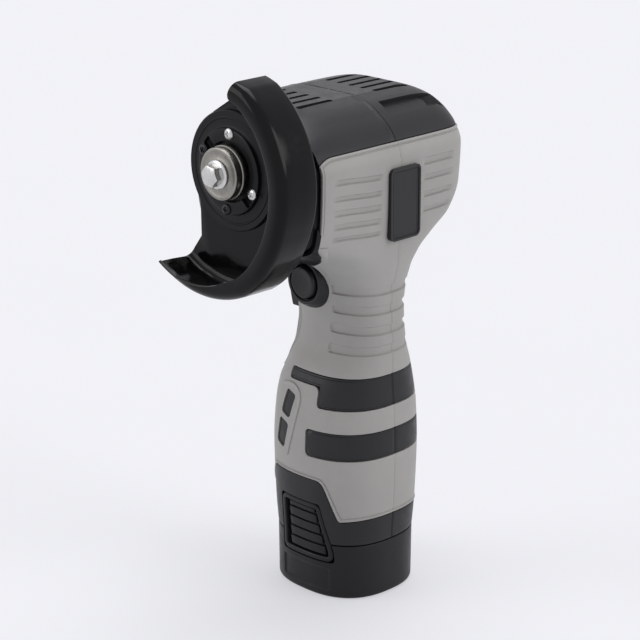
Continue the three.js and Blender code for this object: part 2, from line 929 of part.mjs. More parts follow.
function retainerScrews(radius) {
  return retainer_screw_angle_shares.map((share) => {
    const [x, z] = retainerScrewPlace(share);
    const tip = retainer_ring_front_y + retainer_screw_length + fit_gap;
    return rodAlongY(radius, retainer_ring_front_y - fit_gap, tip, x, z, 10);
  });
}

function makeRetainer() {
  let retainer = spindleRod(retainer_radius, retainer_front_y, retainer_back_y, 40);
  retainer = retainer.add(spindleRod(
    retainer_ring_radius, retainer_ring_front_y, retainer_front_y + fit_gap, 36,
  ));
  retainer = retainer.subtract(spindleRod(retainer_bore, -far_reach, 0, 32));
  for (const share of retainer_notch_angle_shares) {
    const notch = turnedBlock(
      [spindle_x, retainer_ring_front_y - cut_overrun, spindle_height - retainer_notch_width / 2],
      [
        spindle_x + retainer_bore + retainer_notch_depth, retainer_front_y,
        spindle_height + retainer_notch_width / 2,
      ],
      full_turn * share,
    );
    retainer = retainer.subtract(notch);
  }
  for (const hole of retainerScrews(retainer_screw_radius + fit_gap)) retainer = retainer.subtract(hole);
  return retainer;
}

function makeRetainerScrew(share) {
  const [x, z] = retainerScrewPlace(share);
  const head_back = retainer_ring_front_y - fit_gap;
  const head_front = head_back - retainer_screw_head_height;
  const tip = retainer_ring_front_y + retainer_screw_length;
  return turned([
    [0, head_front], [0.6 * retainer_screw_head_radius, head_front],
    [retainer_screw_head_radius, head_front + 0.5 * retainer_screw_head_height],
    [retainer_screw_head_radius, head_back], [retainer_screw_radius, head_back],
    [retainer_screw_radius, tip], [0, tip],
  ], x, z, 12);
}

// Guard

function polar(radius, degrees) {
  return [
    spindle_x + radius * Math.cos(degrees * degree), spindle_height + radius * Math.sin(degrees * degree),
  ];
}

function arcPoints(radius, from, to, steps) {
  const points = [];
  for (let step = 0; step <= steps; step += 1) {
    points.push(polar(radius, from + (to - from) * step / steps));
  }
  return points;
}

// Corner of the guard's section: a quarter arc from one direction to the other.
function cornerArc(centreRadius, centreY, radius, from, to, steps) {
  const points = [];
  for (let step = 0; step <= steps; step += 1) {
    const angle = (from + (to - from) * step / steps) * degree;
    points.push([centreRadius + radius * Math.cos(angle), centreY + radius * Math.sin(angle)]);
  }
  return points;
}

function makeGuard() {
  const inner_radius = guard_radius - guard_thickness;
  const front_centre = [guard_radius - guard_corner, guard_front_y + guard_corner];
  const rear_centre = [guard_radius - guard_rear_corner, guard_back_y - guard_rear_corner];
  const channel = turned([
    [guard_lip_radius, guard_front_y],
    ...cornerArc(front_centre[0], front_centre[1], guard_corner, -90, 0, 3),
    ...cornerArc(rear_centre[0], rear_centre[1], guard_rear_corner, 0, 90, 1),
    [guard_lip_radius, guard_back_y],
    [guard_lip_radius, guard_back_y - guard_thickness],
    [inner_radius - fit_gap, guard_back_y - guard_thickness],
    ...cornerArc(
      front_centre[0], front_centre[1], guard_corner - guard_thickness, 0, -90, 2,
    ),
    [guard_lip_radius, guard_front_y + guard_thickness],
    [guard_lip_radius, guard_front_y],
  ], spindle_x, spindle_height, 54);
  const reach = guard_radius * 1.5;
  const middle = (guard_start_degrees + guard_end_degrees) / 2;
  const sector = prismAlongY([
    polar(0, 0), polar(reach, guard_start_degrees), polar(reach, (guard_start_degrees + middle) / 2),
    polar(reach, middle), polar(reach, (guard_end_degrees + middle) / 2), polar(reach, guard_end_degrees),
  ], -far_reach, 0);
  let guard = channel.intersect(sector);
  guard = guard.subtract(lipFade());
  guard = guard.add(backPlate());
  guard = guard.subtract(spindleRod(collar_radius + fit_gap, -far_reach, 0, 40));
  return guard;
}

// The lip narrows to nothing towards the lower end, so its edge runs out along a widening curve.
function lipFade() {
  const steps = 8;
  const points = [];
  for (let step = 0; step <= steps; step += 1) {
    const share = step / steps;
    const radius = guard_lip_radius + (guard_radius - guard_thickness - guard_lip_radius) * share ** 0.8;
    points.push(polar(radius, lip_fade_degrees + (lip_end_degrees - lip_fade_degrees) * share));
  }
  points.push(polar(guard_lip_radius / 2, lip_end_degrees));
  points.push(polar(guard_lip_radius / 2, lip_fade_degrees));
  points.reverse();
  return prismAlongY(points, guard_front_y - cut_overrun, guard_front_y + guard_corner);
}

// The flat back, cut away on the open side. Shares are of the guard's radius, from the spindle.
const back_plate_edge_shares = [
  [-0.432, -0.669],
  [-0.436, -0.449],
  [-0.455, -0.319],
];
const back_plate_top_shares = [
  [-0.254, 0.474],
  [-0.055, 0.602],
];

function backPlate() {
  const place = ([across, up]) => [spindle_x + across * guard_radius, spindle_height + up * guard_radius];
  const rim = guard_lip_radius + guard_rear_corner;
  const heading = ([across, up]) => Math.atan2(up, across) / degree;
  const left_end = heading(back_plate_edge_shares[back_plate_edge_shares.length - 1]);
  const left_start = heading(back_plate_top_shares[0]) - full_turn / degree;
  const left_radius = retainer_radius + fit_gap;
  const outline = [
    ...arcPoints(rim, guard_start_degrees, guard_end_degrees, 8),
    ...back_plate_top_shares.slice().reverse().map(place),
    ...arcPoints(left_radius, left_start, left_end, 14),
    ...back_plate_edge_shares.slice().reverse().slice(1).map(place),
  ];
  return prismAlongY(outline, guard_back_y - guard_thickness, guard_back_y);
}

// Spindle stack

function makeRotor() {
  const collar = shaft_radius + 1.5 * fit_gap;
  const can_front = stator_front_y + fit_gap;
  const can_back = stator_back_y - fit_gap;
  const rotor = turned([
    [0, shaft_front_y], [shaft_radius, shaft_front_y], [shaft_radius, front_bearing_back_y + fit_gap],
    [collar, front_bearing_back_y + fit_gap], [collar, can_front], [rotor_radius, can_front],
    [rotor_radius, can_back], [shaft_radius, can_back], [shaft_radius, shaft_back_y - fit_gap],
    [0, shaft_back_y - fit_gap],
  ], spindle_x, spindle_height, 24);
  const hole_back = shaft_front_y + bolt_shank_length;
  return rotor.subtract(spindleRod(bolt_shank_radius + fit_gap, -far_reach, hole_back, 16));
}

function makeInnerFlange() {
  const back = inner_flange_front_y + inner_flange_thickness;
  const disc = spindleRod(inner_flange_radius, inner_flange_front_y, back, 32);
  const hub = spindleRod(inner_flange_hub_radius, inner_flange_front_y, inner_flange_hub_back_y, 28);
  return disc.add(hub).subtract(spindleRod(shaft_radius + fit_gap, -far_reach, 0, 28));
}

const outer_flange_back_y = inner_flange_front_y - fit_gap;
const outer_flange_front_y = outer_flange_back_y - outer_flange_thickness;

function makeOuterFlange() {
  const disc = turned([
    [0, outer_flange_front_y], [outer_flange_radius - outer_flange_edge, outer_flange_front_y],
    [outer_flange_radius, outer_flange_front_y + outer_flange_edge],
    [outer_flange_radius, outer_flange_back_y - outer_flange_edge],
    [outer_flange_radius - outer_flange_edge, outer_flange_back_y], [0, outer_flange_back_y],
  ], spindle_x, spindle_height, 32);
  return disc.subtract(spindleRod(bolt_shank_radius + fit_gap, -far_reach, 0, 16));
}

const bolt_seat_y = outer_flange_front_y - fit_gap;
const bolt_front_y = bolt_seat_y - bolt_flange_thickness - bolt_head_height;

function makeBolt() {
  const hex_radius = bolt_across_flats / 2 / Math.cos(Math.PI / 6);
  const hex = [];
  for (let corner = 0; corner < 6; corner += 1) {
    const angle = full_turn * (corner + 0.5) / 6;
    hex.push([spindle_x + hex_radius * Math.cos(angle), spindle_height + hex_radius * Math.sin(angle)]);
  }
  const chamfer = turned([
    [0, bolt_front_y], [hex_radius - bolt_chamfer * 1.4, bolt_front_y],
    [hex_radius + bolt_chamfer, bolt_front_y + bolt_chamfer * 1.4],
    [hex_radius + bolt_chamfer, bolt_seat_y], [0, bolt_seat_y],
  ], spindle_x, spindle_height, 24);
  let bolt = prismAlongY(hex, bolt_front_y, bolt_seat_y - fit_gap).intersect(chamfer);
  bolt = bolt.add(spindleRod(bolt_flange_radius, bolt_seat_y - bolt_flange_thickness, bolt_seat_y, 28));
  const tip = shaft_front_y + bolt_shank_length - fit_gap;
  return bolt.add(spindleRod(bolt_shank_radius, bolt_seat_y - fit_gap, tip, 16));
}

// Motor, bearings and fan

function makeStator() {
  let stator = ringAlongY(stator_radius, stator_bore, stator_front_y, stator_back_y, 28);
  for (let number = 0; number < stator_slot_count; number += 1) {
    const slot = turnedBlock(
      [
        spindle_x + stator_bore - cut_overrun, stator_front_y - cut_overrun,
        spindle_height - stator_slot_width / 2,
      ],
      [
        spindle_x + stator_bore + stator_slot_depth, stator_back_y + cut_overrun,
        spindle_height + stator_slot_width / 2,
      ],
      full_turn * number / stator_slot_count,
    );
    stator = stator.subtract(slot);
  }
  return stator;
}

function makeBearing(outer, lowY) {
  const highY = lowY + bearing_width;
  const inner = shaft_radius + fit_gap;
  return turned([
    [inner, lowY], [inner + bearing_race, lowY], [inner + bearing_race, lowY + bearing_groove],
    [outer - bearing_race, lowY + bearing_groove], [outer - bearing_race, lowY], [outer, lowY],
    [outer, highY], [inner, highY], [inner, lowY],
  ], spindle_x, spindle_height, 20);
}

function makeFan() {
  let fan = spindleRod(fan_radius, fan_front_y, fan_front_y + fan_plate, 32);
  fan = fan.add(spindleRod(fan_hub_radius, fan_front_y, fan_back_y, 20));
  for (let number = 0; number < fan_blade_count; number += 1) {
    const blade = turnedBlock(
      [spindle_x + shaft_radius + fan_plate, fan_front_y, spindle_height - fan_blade_thickness / 2],
      [spindle_x + fan_radius - fan_plate / 2, fan_back_y, spindle_height + fan_blade_thickness / 2],
      full_turn * number / fan_blade_count,
    );
    fan = fan.add(blade);
  }
  return fan.subtract(spindleRod(shaft_radius + fit_gap, -far_reach, far_reach, 20));
}

// Trigger, lock button and electrical pieces

function makeTrigger() {
  const steps = 8;
  const points = [[trigger_back_x, trigger_bottom], [trigger_back_x, trigger_top]];
  for (let step = 0; step <= steps; step += 1) {
    const share = step / steps;
    const belly = trigger_belly * Math.sin(Math.PI * share);
    points.push([
      trigger_face_x + trigger_belly - belly,
      trigger_top - (trigger_top - trigger_bottom) * share,
    ]);
  }
  points.reverse();
  const body = prismAlongY(points, -trigger_half_width, trigger_half_width);
  const middle = (trigger_top + trigger_bottom) / 2;
  const well = rodAlongX(
    trigger_spring_radius + spring_wire + fit_gap, trigger_back_x - trigger_spring_depth,
    trigger_back_x + cut_overrun, 0, middle, 20,
  );
  const plunger = rodAlongX(
    trigger_plunger_radius, trigger_back_x - trigger_spring_depth - fit_gap, switch_front_x + fit_gap,
    0, middle, 16,
  );
  return body.subtract(well).add(plunger);
}

function makeSwitch() {
  const middle = (trigger_top + trigger_bottom) / 2;
  const body = block(
    [switch_front_x, -switch_half_width, switch_bottom], [switch_back_x, switch_half_width, switch_top],
  );
  const socket = rodAlongX(
    trigger_plunger_radius + fit_gap, switch_front_x - cut_overrun,
    switch_front_x + trigger_travel + 2 * fit_gap, 0, middle, 16,
  );
  const lock_hole = rodAlongY(
    lock_stem_radius + fit_gap, -far_reach,
    button_face_y + button_length + lock_stem_length + button_travel + fit_gap, button_x, button_height, 20,
  );
  return body.subtract(socket).subtract(lock_hole);
}

function makeButton() {
  const back = button_face_y + button_length;
  const dish = 0.12 * button_radius;
  const well = lock_spring_radius + spring_wire + fit_gap;
  return turned([
    [0, button_face_y + dish], [0.5 * button_radius, button_face_y + 0.6 * dish],
    [0.82 * button_radius, button_face_y], [0.93 * button_radius, button_face_y + 0.2 * dish],
    [button_radius, button_face_y + dish], [button_radius, back], [well, back],
    [well, back - lock_spring_depth], [lock_stem_radius, back - lock_spring_depth],
    [lock_stem_radius, back + lock_stem_length], [0, back + lock_stem_length],
  ], button_x, button_height, 28);
}

function makePlate() {
  let plate = prismAlongX(
    roundedOutline(plate_width, plate_height, plate_corner, 0, plate_centre_height),
    plate_seat_x, plate_face_x,
  );
  const field = prismAlongX(
    roundedOutline(
      plate_width - 2 * plate_frame_width, plate_height - 2 * plate_frame_width,
      plate_corner - plate_frame_width, 0, plate_centre_height,
    ),
    plate_face_x - plate_frame_depth, far_reach,
  );
  plate = plate.subtract(field);
  return plate;
}

function makeHousingScrew([x, z]) {
  const under = screw_head_y - screw_head_height;
  return turned([
    [0, screw_tip_y], [screw_radius, screw_tip_y], [screw_radius, under], [screw_head_radius, under],
    [screw_head_radius, screw_head_y], [0, screw_head_y],
  ], x, z, 12);
}

function makeBoard() {
  return block(
    [-board_half_width, -board_thickness / 2, board_bottom], [board_half_width, board_thickness / 2, board_top],
  );
}

function terminalPlaces() {
  return [-1, 1].map((side) => side * terminal_spacing);
}

function makeTerminalBlock() {
  let made = block(
    [-terminal_block_half_width, -terminal_block_half_depth, terminal_block_bottom],
    [terminal_block_half_width, terminal_block_half_depth, terminal_block_top],
  );
  for (const x of terminalPlaces()) {
    made = made.subtract(block(
      [
        x - terminal_width / 2 - fit_gap, -terminal_thickness / 2 - fit_gap,
        terminal_block_bottom - cut_overrun,
      ],
      [
        x + terminal_width / 2 + fit_gap, terminal_thickness / 2 + fit_gap,
        stem_top + terminal_rise + fit_gap,
      ],
    ));
  }
  return made;
}

// Battery pack

function makePackCase() {
  const base = packForm(0, 0, joint_height - fit_gap);
  const stem = rodAlongZ(stem_radius, joint_height - cut_overrun, stem_top, 0, 0, 48);
  const tongue = prismAlongY(latchOutline(latch_frame), -far_reach, far_reach).intersect(outer_form);
  const link = prismAlongY(latchOutline(latch_frame), -far_reach, far_reach)
    .intersect(packForm(0, 0, joint_height + fit_gap));
  let made = base.add(stem).add(tongue).add(link);
  const hollow = rodAlongZ(
    stem_radius - pack_wall, -cut_overrun, stem_top - pack_wall, 0, 0, 48,
  );
  const foot = packForm(pack_wall, -pack_foot_chamfer - fit_gap, pack_base_thickness + fit_gap);
  made = made.subtract(hollow).subtract(foot);
  for (const side of [-1, 1]) made = made.subtract(latchPocket(side));
  for (const x of terminalPlaces()) {
    made = made.subtract(block(
      [x - terminal_width / 2 - fit_gap, -terminal_thickness / 2 - fit_gap, stem_top - pack_wall - fit_gap],
      [x + terminal_width / 2 + fit_gap, terminal_thickness / 2 + fit_gap, stem_top + fit_gap],
    ));
  }
  return made;
}

function sided(side, near, far) {
  return side < 0 ? [-far, -near] : [near, far];
}

const latch_floor = pack_half_depth - latch_pocket_depth;

function latchPocket(side) {
  const [low, high] = sided(side, latch_floor, far_reach);
  return prismAlongY(latchOutline(fit_gap), low, high);
}

// The press plate follows the pack's outside, with ribs across it.
function makeLatch(side) {
  const inner = latch_floor + latch_travel + leaf_thickness + 2 * fit_gap;
  const [low, high] = sided(side, inner, far_reach);
  const surface = bodyForm(latch_recess + latch_rib_height).add(
    packForm(latch_recess + latch_rib_height, 0, joint_height + fit_gap),
  );
  let latch = prismAlongY(latchOutline(0), low, high).intersect(surface);
  const proud = bodyForm(latch_recess).add(packForm(latch_recess, 0, joint_height + fit_gap));
  const step = (latch_top - latch_bottom) / (latch_rib_count * 2 + 1);
  for (let number = 0; number < latch_rib_count; number += 1) {
    const bottom = latch_bottom + (2 * number + 1) * step;
    const rib = block([-far_reach, low, bottom], [far_reach, high, bottom + step]);
    latch = latch.add(rib.intersect(prismAlongY(latchOutline(-latch_frame / 2), low, high)).intersect(proud));
  }
  return latch;
}

// A bowed leaf behind each latch plate.
function makeLatchSpring(side) {
  const steps = 8;
  const rise = latch_travel + leaf_thickness;
  const middle_x = (latch_left_x + latch_top_right_x) / 2;
  const middle_z = (latch_bottom + latch_top) / 2;
  const inner = [];
  const outer = [];
  for (let step = 0; step <= steps; step += 1) {
    const share = 2 * step / steps - 1;
    const x = middle_x + share * leaf_length / 2;
    const y = latch_floor + fit_gap + (rise - leaf_thickness) * (1 - share ** 2);
    inner.push([x, side * y]);
    outer.push([x, side * (y + leaf_thickness)]);
  }
  const outline = side > 0 ? [...inner, ...outer.reverse()] : [...outer, ...inner.reverse()];
  return prismAlongZ(outline, middle_z - leaf_width / 2, middle_z + leaf_width / 2);
}

function makePackBase() {
  return packForm(pack_wall + fit_gap, -pack_foot_chamfer, pack_base_thickness)
    .intersect(block([-far_reach, -far_reach, 0], [far_reach, far_reach, far_reach]));
}

function cellPlaces() {
  const spread = (cell_radius + fit_gap / 2) / Math.cos(Math.PI / 6);
  return [0, 1, 2].map((number) => {
    const angle = full_turn * (number / 3 + 0.25);
    return [spread * Math.cos(angle), spread * Math.sin(angle)];
  });
}

function makeTerminal(x) {
  const blade = block(
    [x - terminal_width / 2, -terminal_thickness / 2, pack_board_height + pack_board_thickness],
    [x + terminal_width / 2, terminal_thickness / 2, stem_top + terminal_rise],
  );
  return blade;
}

// Springs, placed along their working axis

function springAlong(axis, radius, length, turns, place) {
  const geometry = coil(radius, spring_wire, length, turns);
  if (axis === 'x') geometry.rotateY(Math.PI / 2);
  if (axis === 'y') geometry.rotateX(-Math.PI / 2);
  geometry.translate(...place);
  return solid(geometry);
}

// Materials

const finish = {
  black_plastic: { color: 0x26272a, roughness: 0.6, metalness: 0 },
  grey_rubber: { color: 0x8d8a86, roughness: 0.65, metalness: 0 },
  gloss_black: { color: 0x101114, roughness: 0.22, metalness: 0.1 },
  plate_black: { color: 0x18191b, roughness: 0.5, metalness: 0 },
  bright_steel: { color: 0xc9cacb, roughness: 0.28, metalness: 1 },
  dull_steel: { color: 0x9a958a, roughness: 0.45, metalness: 1 },
  copper: { color: 0xb87333, roughness: 0.4, metalness: 1 },
  lamination: { color: 0x6d6f72, roughness: 0.5, metalness: 1 },
  board_green: { color: 0x1f5a38, roughness: 0.6, metalness: 0 },
  cell_wrap: { color: 0x3b6ea5, roughness: 0.4, metalness: 0 },
  nylon: { color: 0xd9d6cc, roughness: 0.6, metalness: 0 },
};

const grinder = new THREE.Group();

function addNode(name, manifold, look) {
  const mesh = new THREE.Mesh(geometryOf(manifold), new THREE.MeshStandardMaterial(finish[look]));
  mesh.name = name;
  grinder.add(mesh);
}

addNode('battery_case', makePackCase(), 'black_plastic');
addNode('battery_base', makePackBase(), 'black_plastic');
cellPlaces().forEach(([x, y], number) => {
  const cell = rodAlongZ(cell_radius, cell_bottom, cell_bottom + cell_length, x, y, 28);
  addNode(`battery_cell_${number + 1}`, cell, 'cell_wrap');
});
addNode('battery_board', rodAlongZ(
  stem_radius - pack_wall - fit_gap, pack_board_height, pack_board_height + pack_board_thickness, 0, 0, 32,
), 'board_green');
addNode('battery_terminal_minus', makeTerminal(-terminal_spacing), 'copper');
addNode('battery_terminal_plus', makeTerminal(terminal_spacing), 'copper');

for (const [name, side] of [['near', -1], ['far', 1]]) {
  addNode(`latch_${name}`, makeLatch(side), 'black_plastic');
  addNode(`latch_spring_${name}`, makeLatchSpring(side), 'dull_steel');
}

addNode('housing_near', shell.intersect(near_half), 'black_plastic');
addNode('housing_far', shell.intersect(far_half), 'black_plastic');
addNode('sleeve_near', sleeve.intersect(near_half), 'grey_rubber');
addNode('sleeve_far', sleeve.intersect(far_half), 'grey_rubber');
addNode('rating_plate', makePlate(), 'plate_black');
screw_places.forEach((place, number) => {
  addNode(`housing_screw_${number + 1}`, makeHousingScrew(place), 'bright_steel');
});

addNode('nose_plate', makeNose(), 'black_plastic');
addNode('guard_retainer', makeRetainer(), 'plate_black');
retainer_screw_angle_shares.forEach((share, number) => {
  addNode(`retainer_screw_${number + 1}`, makeRetainerScrew(share), 'bright_steel');
});
addNode('guard', makeGuard(), 'gloss_black');

addNode('spindle_rotor', makeRotor(), 'bright_steel');
addNode('inner_flange', makeInnerFlange(), 'dull_steel');
addNode('outer_flange', makeOuterFlange(), 'dull_steel');
addNode('flange_bolt', makeBolt(), 'bright_steel');
addNode('cooling_fan', makeFan(), 'nylon');
addNode('motor_stator', makeStator(), 'lamination');
addNode('front_bearing', makeBearing(front_bearing_radius, front_bearing_back_y - bearing_width), 'bright_steel');
addNode('rear_bearing', makeBearing(rear_bearing_radius, rear_bearing_front_y), 'bright_steel');

addNode('trigger', makeTrigger(), 'black_plastic');
const trigger_spring_start = trigger_back_x - trigger_spring_depth + fit_gap;
addNode('trigger_spring', springAlong(
  'x', trigger_spring_radius, switch_front_x - trigger_spring_start - fit_gap, 5,
  [trigger_spring_start, 0, (trigger_top + trigger_bottom) / 2],
), 'dull_steel');
addNode('lock_button', makeButton(), 'black_plastic');
const lock_spring_start = button_face_y + button_length - lock_spring_depth + fit_gap;
addNode('lock_spring', springAlong(
  'y', lock_spring_radius, lock_spring_depth + button_travel - fit_gap, 4,
  [button_x, lock_spring_start, button_height],
), 'dull_steel');
addNode('switch_body', makeSwitch(), 'plate_black');
addNode('control_board', makeBoard(), 'board_green');
addNode('terminal_block', makeTerminalBlock(), 'nylon');

export default grinder;
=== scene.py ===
"""Cordless angle grinder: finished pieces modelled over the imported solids.

Heights and widths below are millimetres in the part's own frame; meshes are metres.
"""

import math

import bmesh
import bpy
import numpy as np
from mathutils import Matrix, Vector


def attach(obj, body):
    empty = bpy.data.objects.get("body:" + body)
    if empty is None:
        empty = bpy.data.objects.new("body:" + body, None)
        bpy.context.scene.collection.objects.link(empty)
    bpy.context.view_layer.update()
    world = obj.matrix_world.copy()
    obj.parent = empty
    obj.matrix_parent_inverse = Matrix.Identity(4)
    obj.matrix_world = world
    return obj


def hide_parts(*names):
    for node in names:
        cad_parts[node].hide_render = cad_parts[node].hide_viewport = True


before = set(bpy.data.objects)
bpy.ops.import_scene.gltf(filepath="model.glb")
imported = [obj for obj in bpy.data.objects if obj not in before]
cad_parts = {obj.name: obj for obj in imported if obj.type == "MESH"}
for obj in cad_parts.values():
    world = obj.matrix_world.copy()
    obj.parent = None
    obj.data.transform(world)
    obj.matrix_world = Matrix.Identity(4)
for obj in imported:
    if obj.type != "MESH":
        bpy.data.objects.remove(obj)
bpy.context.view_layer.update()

bl_info = {
    "name": "Cordless angle grinder",
    "version": (1, 0, 0),
    "blender": (4, 5, 0),
    "location": "View3D > Sidebar > Grinder",
    "description": "Builds the grinder's housing, sleeves, guard, spindle pieces and battery",
    "category": "Object",
}

MM = 0.001
SPINDLE_X = -10.7
SPINDLE_Z = 193.7
NEAR, FAR = -1, 1

# The body's level sections: height, reach to +X, reach to -X, near depth, far depth, squareness
BODY_SECTIONS = (
    (25.4, 28.3, 28.3, 26.9, 26.9, 2.5),
    (38.0, 29.2, 29.2, 27.7, 27.7, 2.5),
    (65.5, 29.9, 29.9, 28.5, 28.5, 2.5),
    (83.0, 29.35, 28.9, 27.7, 27.7, 2.5),
    (93.0, 28.5, 27.3, 26.1, 26.1, 2.5),
    (103.0, 27.8, 23.2, 23.1, 23.1, 2.5),
    (112.0, 27.9, 21.7, 19.1, 19.1, 2.5),
    (122.0, 27.4, 20.9, 17.7, 17.7, 2.5),
    (131.0, 26.9, 21.2, 18.0, 18.0, 2.5),
    (138.5, 27.2, 22.1, 19.2, 19.2, 2.5),
    (147.0, 29.3, 25.1, 21.6, 20.8, 2.5),
    (153.5, 30.4, 31.9, 29.0, 26.6, 2.6),
    (160.0, 30.7, 40.0, 46.2, 35.0, 3.2),
    (168.0, 31.2, 47.2, 59.8, 41.3, 5.0),
    (180.0, 31.6, 50.4, 59.8, 44.0, 7.0),
    (196.7, 31.7, 51.1, 59.8, 44.0, 8.0),
    (204.2, 28.2, 48.8, 59.0, 43.6, 8.0),
    (208.5, 24.7, 45.9, 52.8, 42.5, 8.0),
    (213.1, 19.1, 40.5, 46.2, 40.9, 7.0),
    (217.1, 12.1, 33.5, 40.9, 35.8, 6.0),
    (218.9, 4.6, 26.0, 37.8, 30.5, 5.0),
)
FRONT_FACE = 45.3
WIDEST = 0.978
CAP_EDGE = 203.3
CROWN_TOP = 218.9


# Small tools for every piece

def deselect():
    if bpy.context.object and bpy.context.object.mode != "OBJECT":
        bpy.ops.object.mode_set(mode="OBJECT")
    bpy.ops.object.select_all(action="DESELECT")


def only(piece):
    deselect()
    piece.select_set(True)
    bpy.context.view_layer.objects.active = piece
    return piece


def new_piece(name):
    """Names what an operator has just added."""
    piece = bpy.context.object
    piece.name = name
    piece.data.name = name
    piece.data.materials.clear()
    return piece


def bake_modifiers(piece):
    only(piece)
    for modifier in list(piece.modifiers):
        bpy.ops.object.modifier_apply(modifier=modifier.name)
    return piece


def settle(piece):
    """Puts the piece's place into its mesh."""
    only(piece)
    bpy.ops.object.transform_apply(location=True, rotation=True, scale=True)
    return piece


def recalculate(piece):
    only(piece)
    bpy.ops.object.mode_set(mode="EDIT")
    bpy.ops.mesh.select_all(action="SELECT")
    bpy.ops.mesh.remove_doubles(threshold=0.000002)
    bpy.ops.mesh.normals_make_consistent(inside=False)
    bpy.ops.object.mode_set(mode="OBJECT")
    return piece


def merge_doubles(piece):
    only(piece)
    bpy.ops.object.mode_set(mode="EDIT")
    bpy.ops.mesh.select_all(action="SELECT")
    bpy.ops.mesh.remove_doubles(threshold=0.000004)
    bpy.ops.object.mode_set(mode="OBJECT")
    return piece


def delete_faces(piece, flags):
    """Deletes the flagged faces in edit mode."""
    only(piece)
    bpy.ops.object.mode_set(mode="EDIT")
    bpy.ops.mesh.select_mode(type="FACE")
    bpy.ops.mesh.select_all(action="DESELECT")
    bpy.ops.object.mode_set(mode="OBJECT")
    piece.data.polygons.foreach_set("select", np.asarray(flags, bool).ravel())
    bpy.ops.object.mode_set(mode="EDIT")
    bpy.ops.mesh.delete(type="FACE")
    bpy.ops.object.mode_set(mode="OBJECT")


def wrapped_grid(name, spots, closed=False):
    """A grid primitive whose corners go to an array of rows by columns of points."""
    rows, columns = spots.shape[:2]
    deselect()
    bpy.ops.mesh.primitive_grid_add(x_subdivisions=columns - 1, y_subdivisions=rows - 1, size=1)
    piece = new_piece(name)
    piece.data.vertices.foreach_set("co", (np.asarray(spots, float) * MM).ravel())
    piece.data.update()
    return recalculate(piece) if closed else piece


def fill_rims(piece):
    """Closes open edges with faces."""
    only(piece)
    bpy.ops.object.mode_set(mode="EDIT")
    bpy.ops.mesh.select_mode(type="EDGE")
    bpy.ops.mesh.select_all(action="DESELECT")
    bpy.ops.mesh.select_non_manifold(extend=False)
    bpy.ops.mesh.edge_face_add()
    bpy.ops.mesh.select_all(action="SELECT")
    bpy.ops.mesh.normals_make_consistent(inside=False)
    bpy.ops.object.mode_set(mode="OBJECT")
    return piece


def round_edges(piece, width, segments=2, angle=40):
    modifier = piece.modifiers.new("rounded edges", "BEVEL")
    modifier.width = width * MM
    modifier.segments = segments
    modifier.limit_method = "ANGLE"
    modifier.angle_limit = math.radians(angle)
    modifier.harden_normals = False
    return bake_modifiers(piece)


def cut(piece, cutter, operation="DIFFERENCE"):
    modifier = piece.modifiers.new("cut", "BOOLEAN")
    modifier.operation = operation
    modifier.solver = "EXACT"
    modifier.object = cutter
    bake_modifiers(piece)
    bpy.data.objects.remove(cutter)
    return piece


def join(first, *others):
    only(first)
    for other in others:
        other.select_set(True)
    bpy.ops.object.join()
    return first


def smooth(piece, angle=32):
    only(piece)
    bpy.ops.object.shade_smooth_by_angle(angle=math.radians(angle))
    return piece


def rod(name, radius, low, high, x, z, sides=64):
    """A cylinder along Y from low to high."""
    deselect()
    bpy.ops.mesh.primitive_cylinder_add(
        vertices=sides, radius=radius * MM, depth=(high - low) * MM,
        location=(x * MM, (low + high) / 2 * MM, z * MM), rotation=(math.pi / 2, 0, 0),
    )
    return settle(new_piece(name))


def box(name, low, high):
    deselect()
    middle = [(a + b) / 2 * MM for a, b in zip(low, high)]
    bpy.ops.mesh.primitive_cube_add(size=1, location=middle)
    piece = new_piece(name)
    piece.scale = [(b - a) * MM for a, b in zip(low, high)]
    return settle(piece)


def turned(name, profile, x=SPINDLE_X, z=SPINDLE_Z, steps=96, start=0.0, sweep=360.0):
    """A profile of (radius, y) pairs spun about an axis along Y; a whole turn closes on itself."""
    deselect()
    bpy.ops.mesh.primitive_plane_add(size=MM, location=(x * MM, 0, z * MM))
    piece = settle(new_piece(name))
    bpy.ops.object.mode_set(mode="EDIT")
    made = bmesh.from_edit_mesh(piece.data)
    bmesh.ops.delete(made, geom=list(made.verts), context="VERTS")
    turn = math.radians(start)
    points = [
        made.verts.new(Vector((x + r * math.cos(turn), y, z + r * math.sin(turn))) * MM)
        for r, y in profile
    ]
    for here, there in zip(points, points[1:]):
        made.edges.new((here, there))
    if profile[0] != profile[-1] and profile[0][0] > 0:
        made.edges.new((points[-1], points[0]))
    bmesh.update_edit_mesh(piece.data)
    bpy.ops.mesh.select_all(action="SELECT")
    bpy.ops.mesh.spin(
        steps=steps, angle=math.radians(sweep), center=(x * MM, 0, z * MM), axis=(0, -1, 0),
        dupli=False, use_auto_merge=True,
    )
    bpy.ops.object.mode_set(mode="OBJECT")
    return recalculate(piece)


def hand_over(piece, body, slot, *nodes, finish=None):
    """The finished piece rides on its body and stands for its solids."""
    only(piece)
    if finish is not None:
        piece.data.materials.clear()
        piece.data.materials.append(finish)
    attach(piece, body)
    if nodes:
        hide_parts(*nodes)
    return piece


# The body's surface

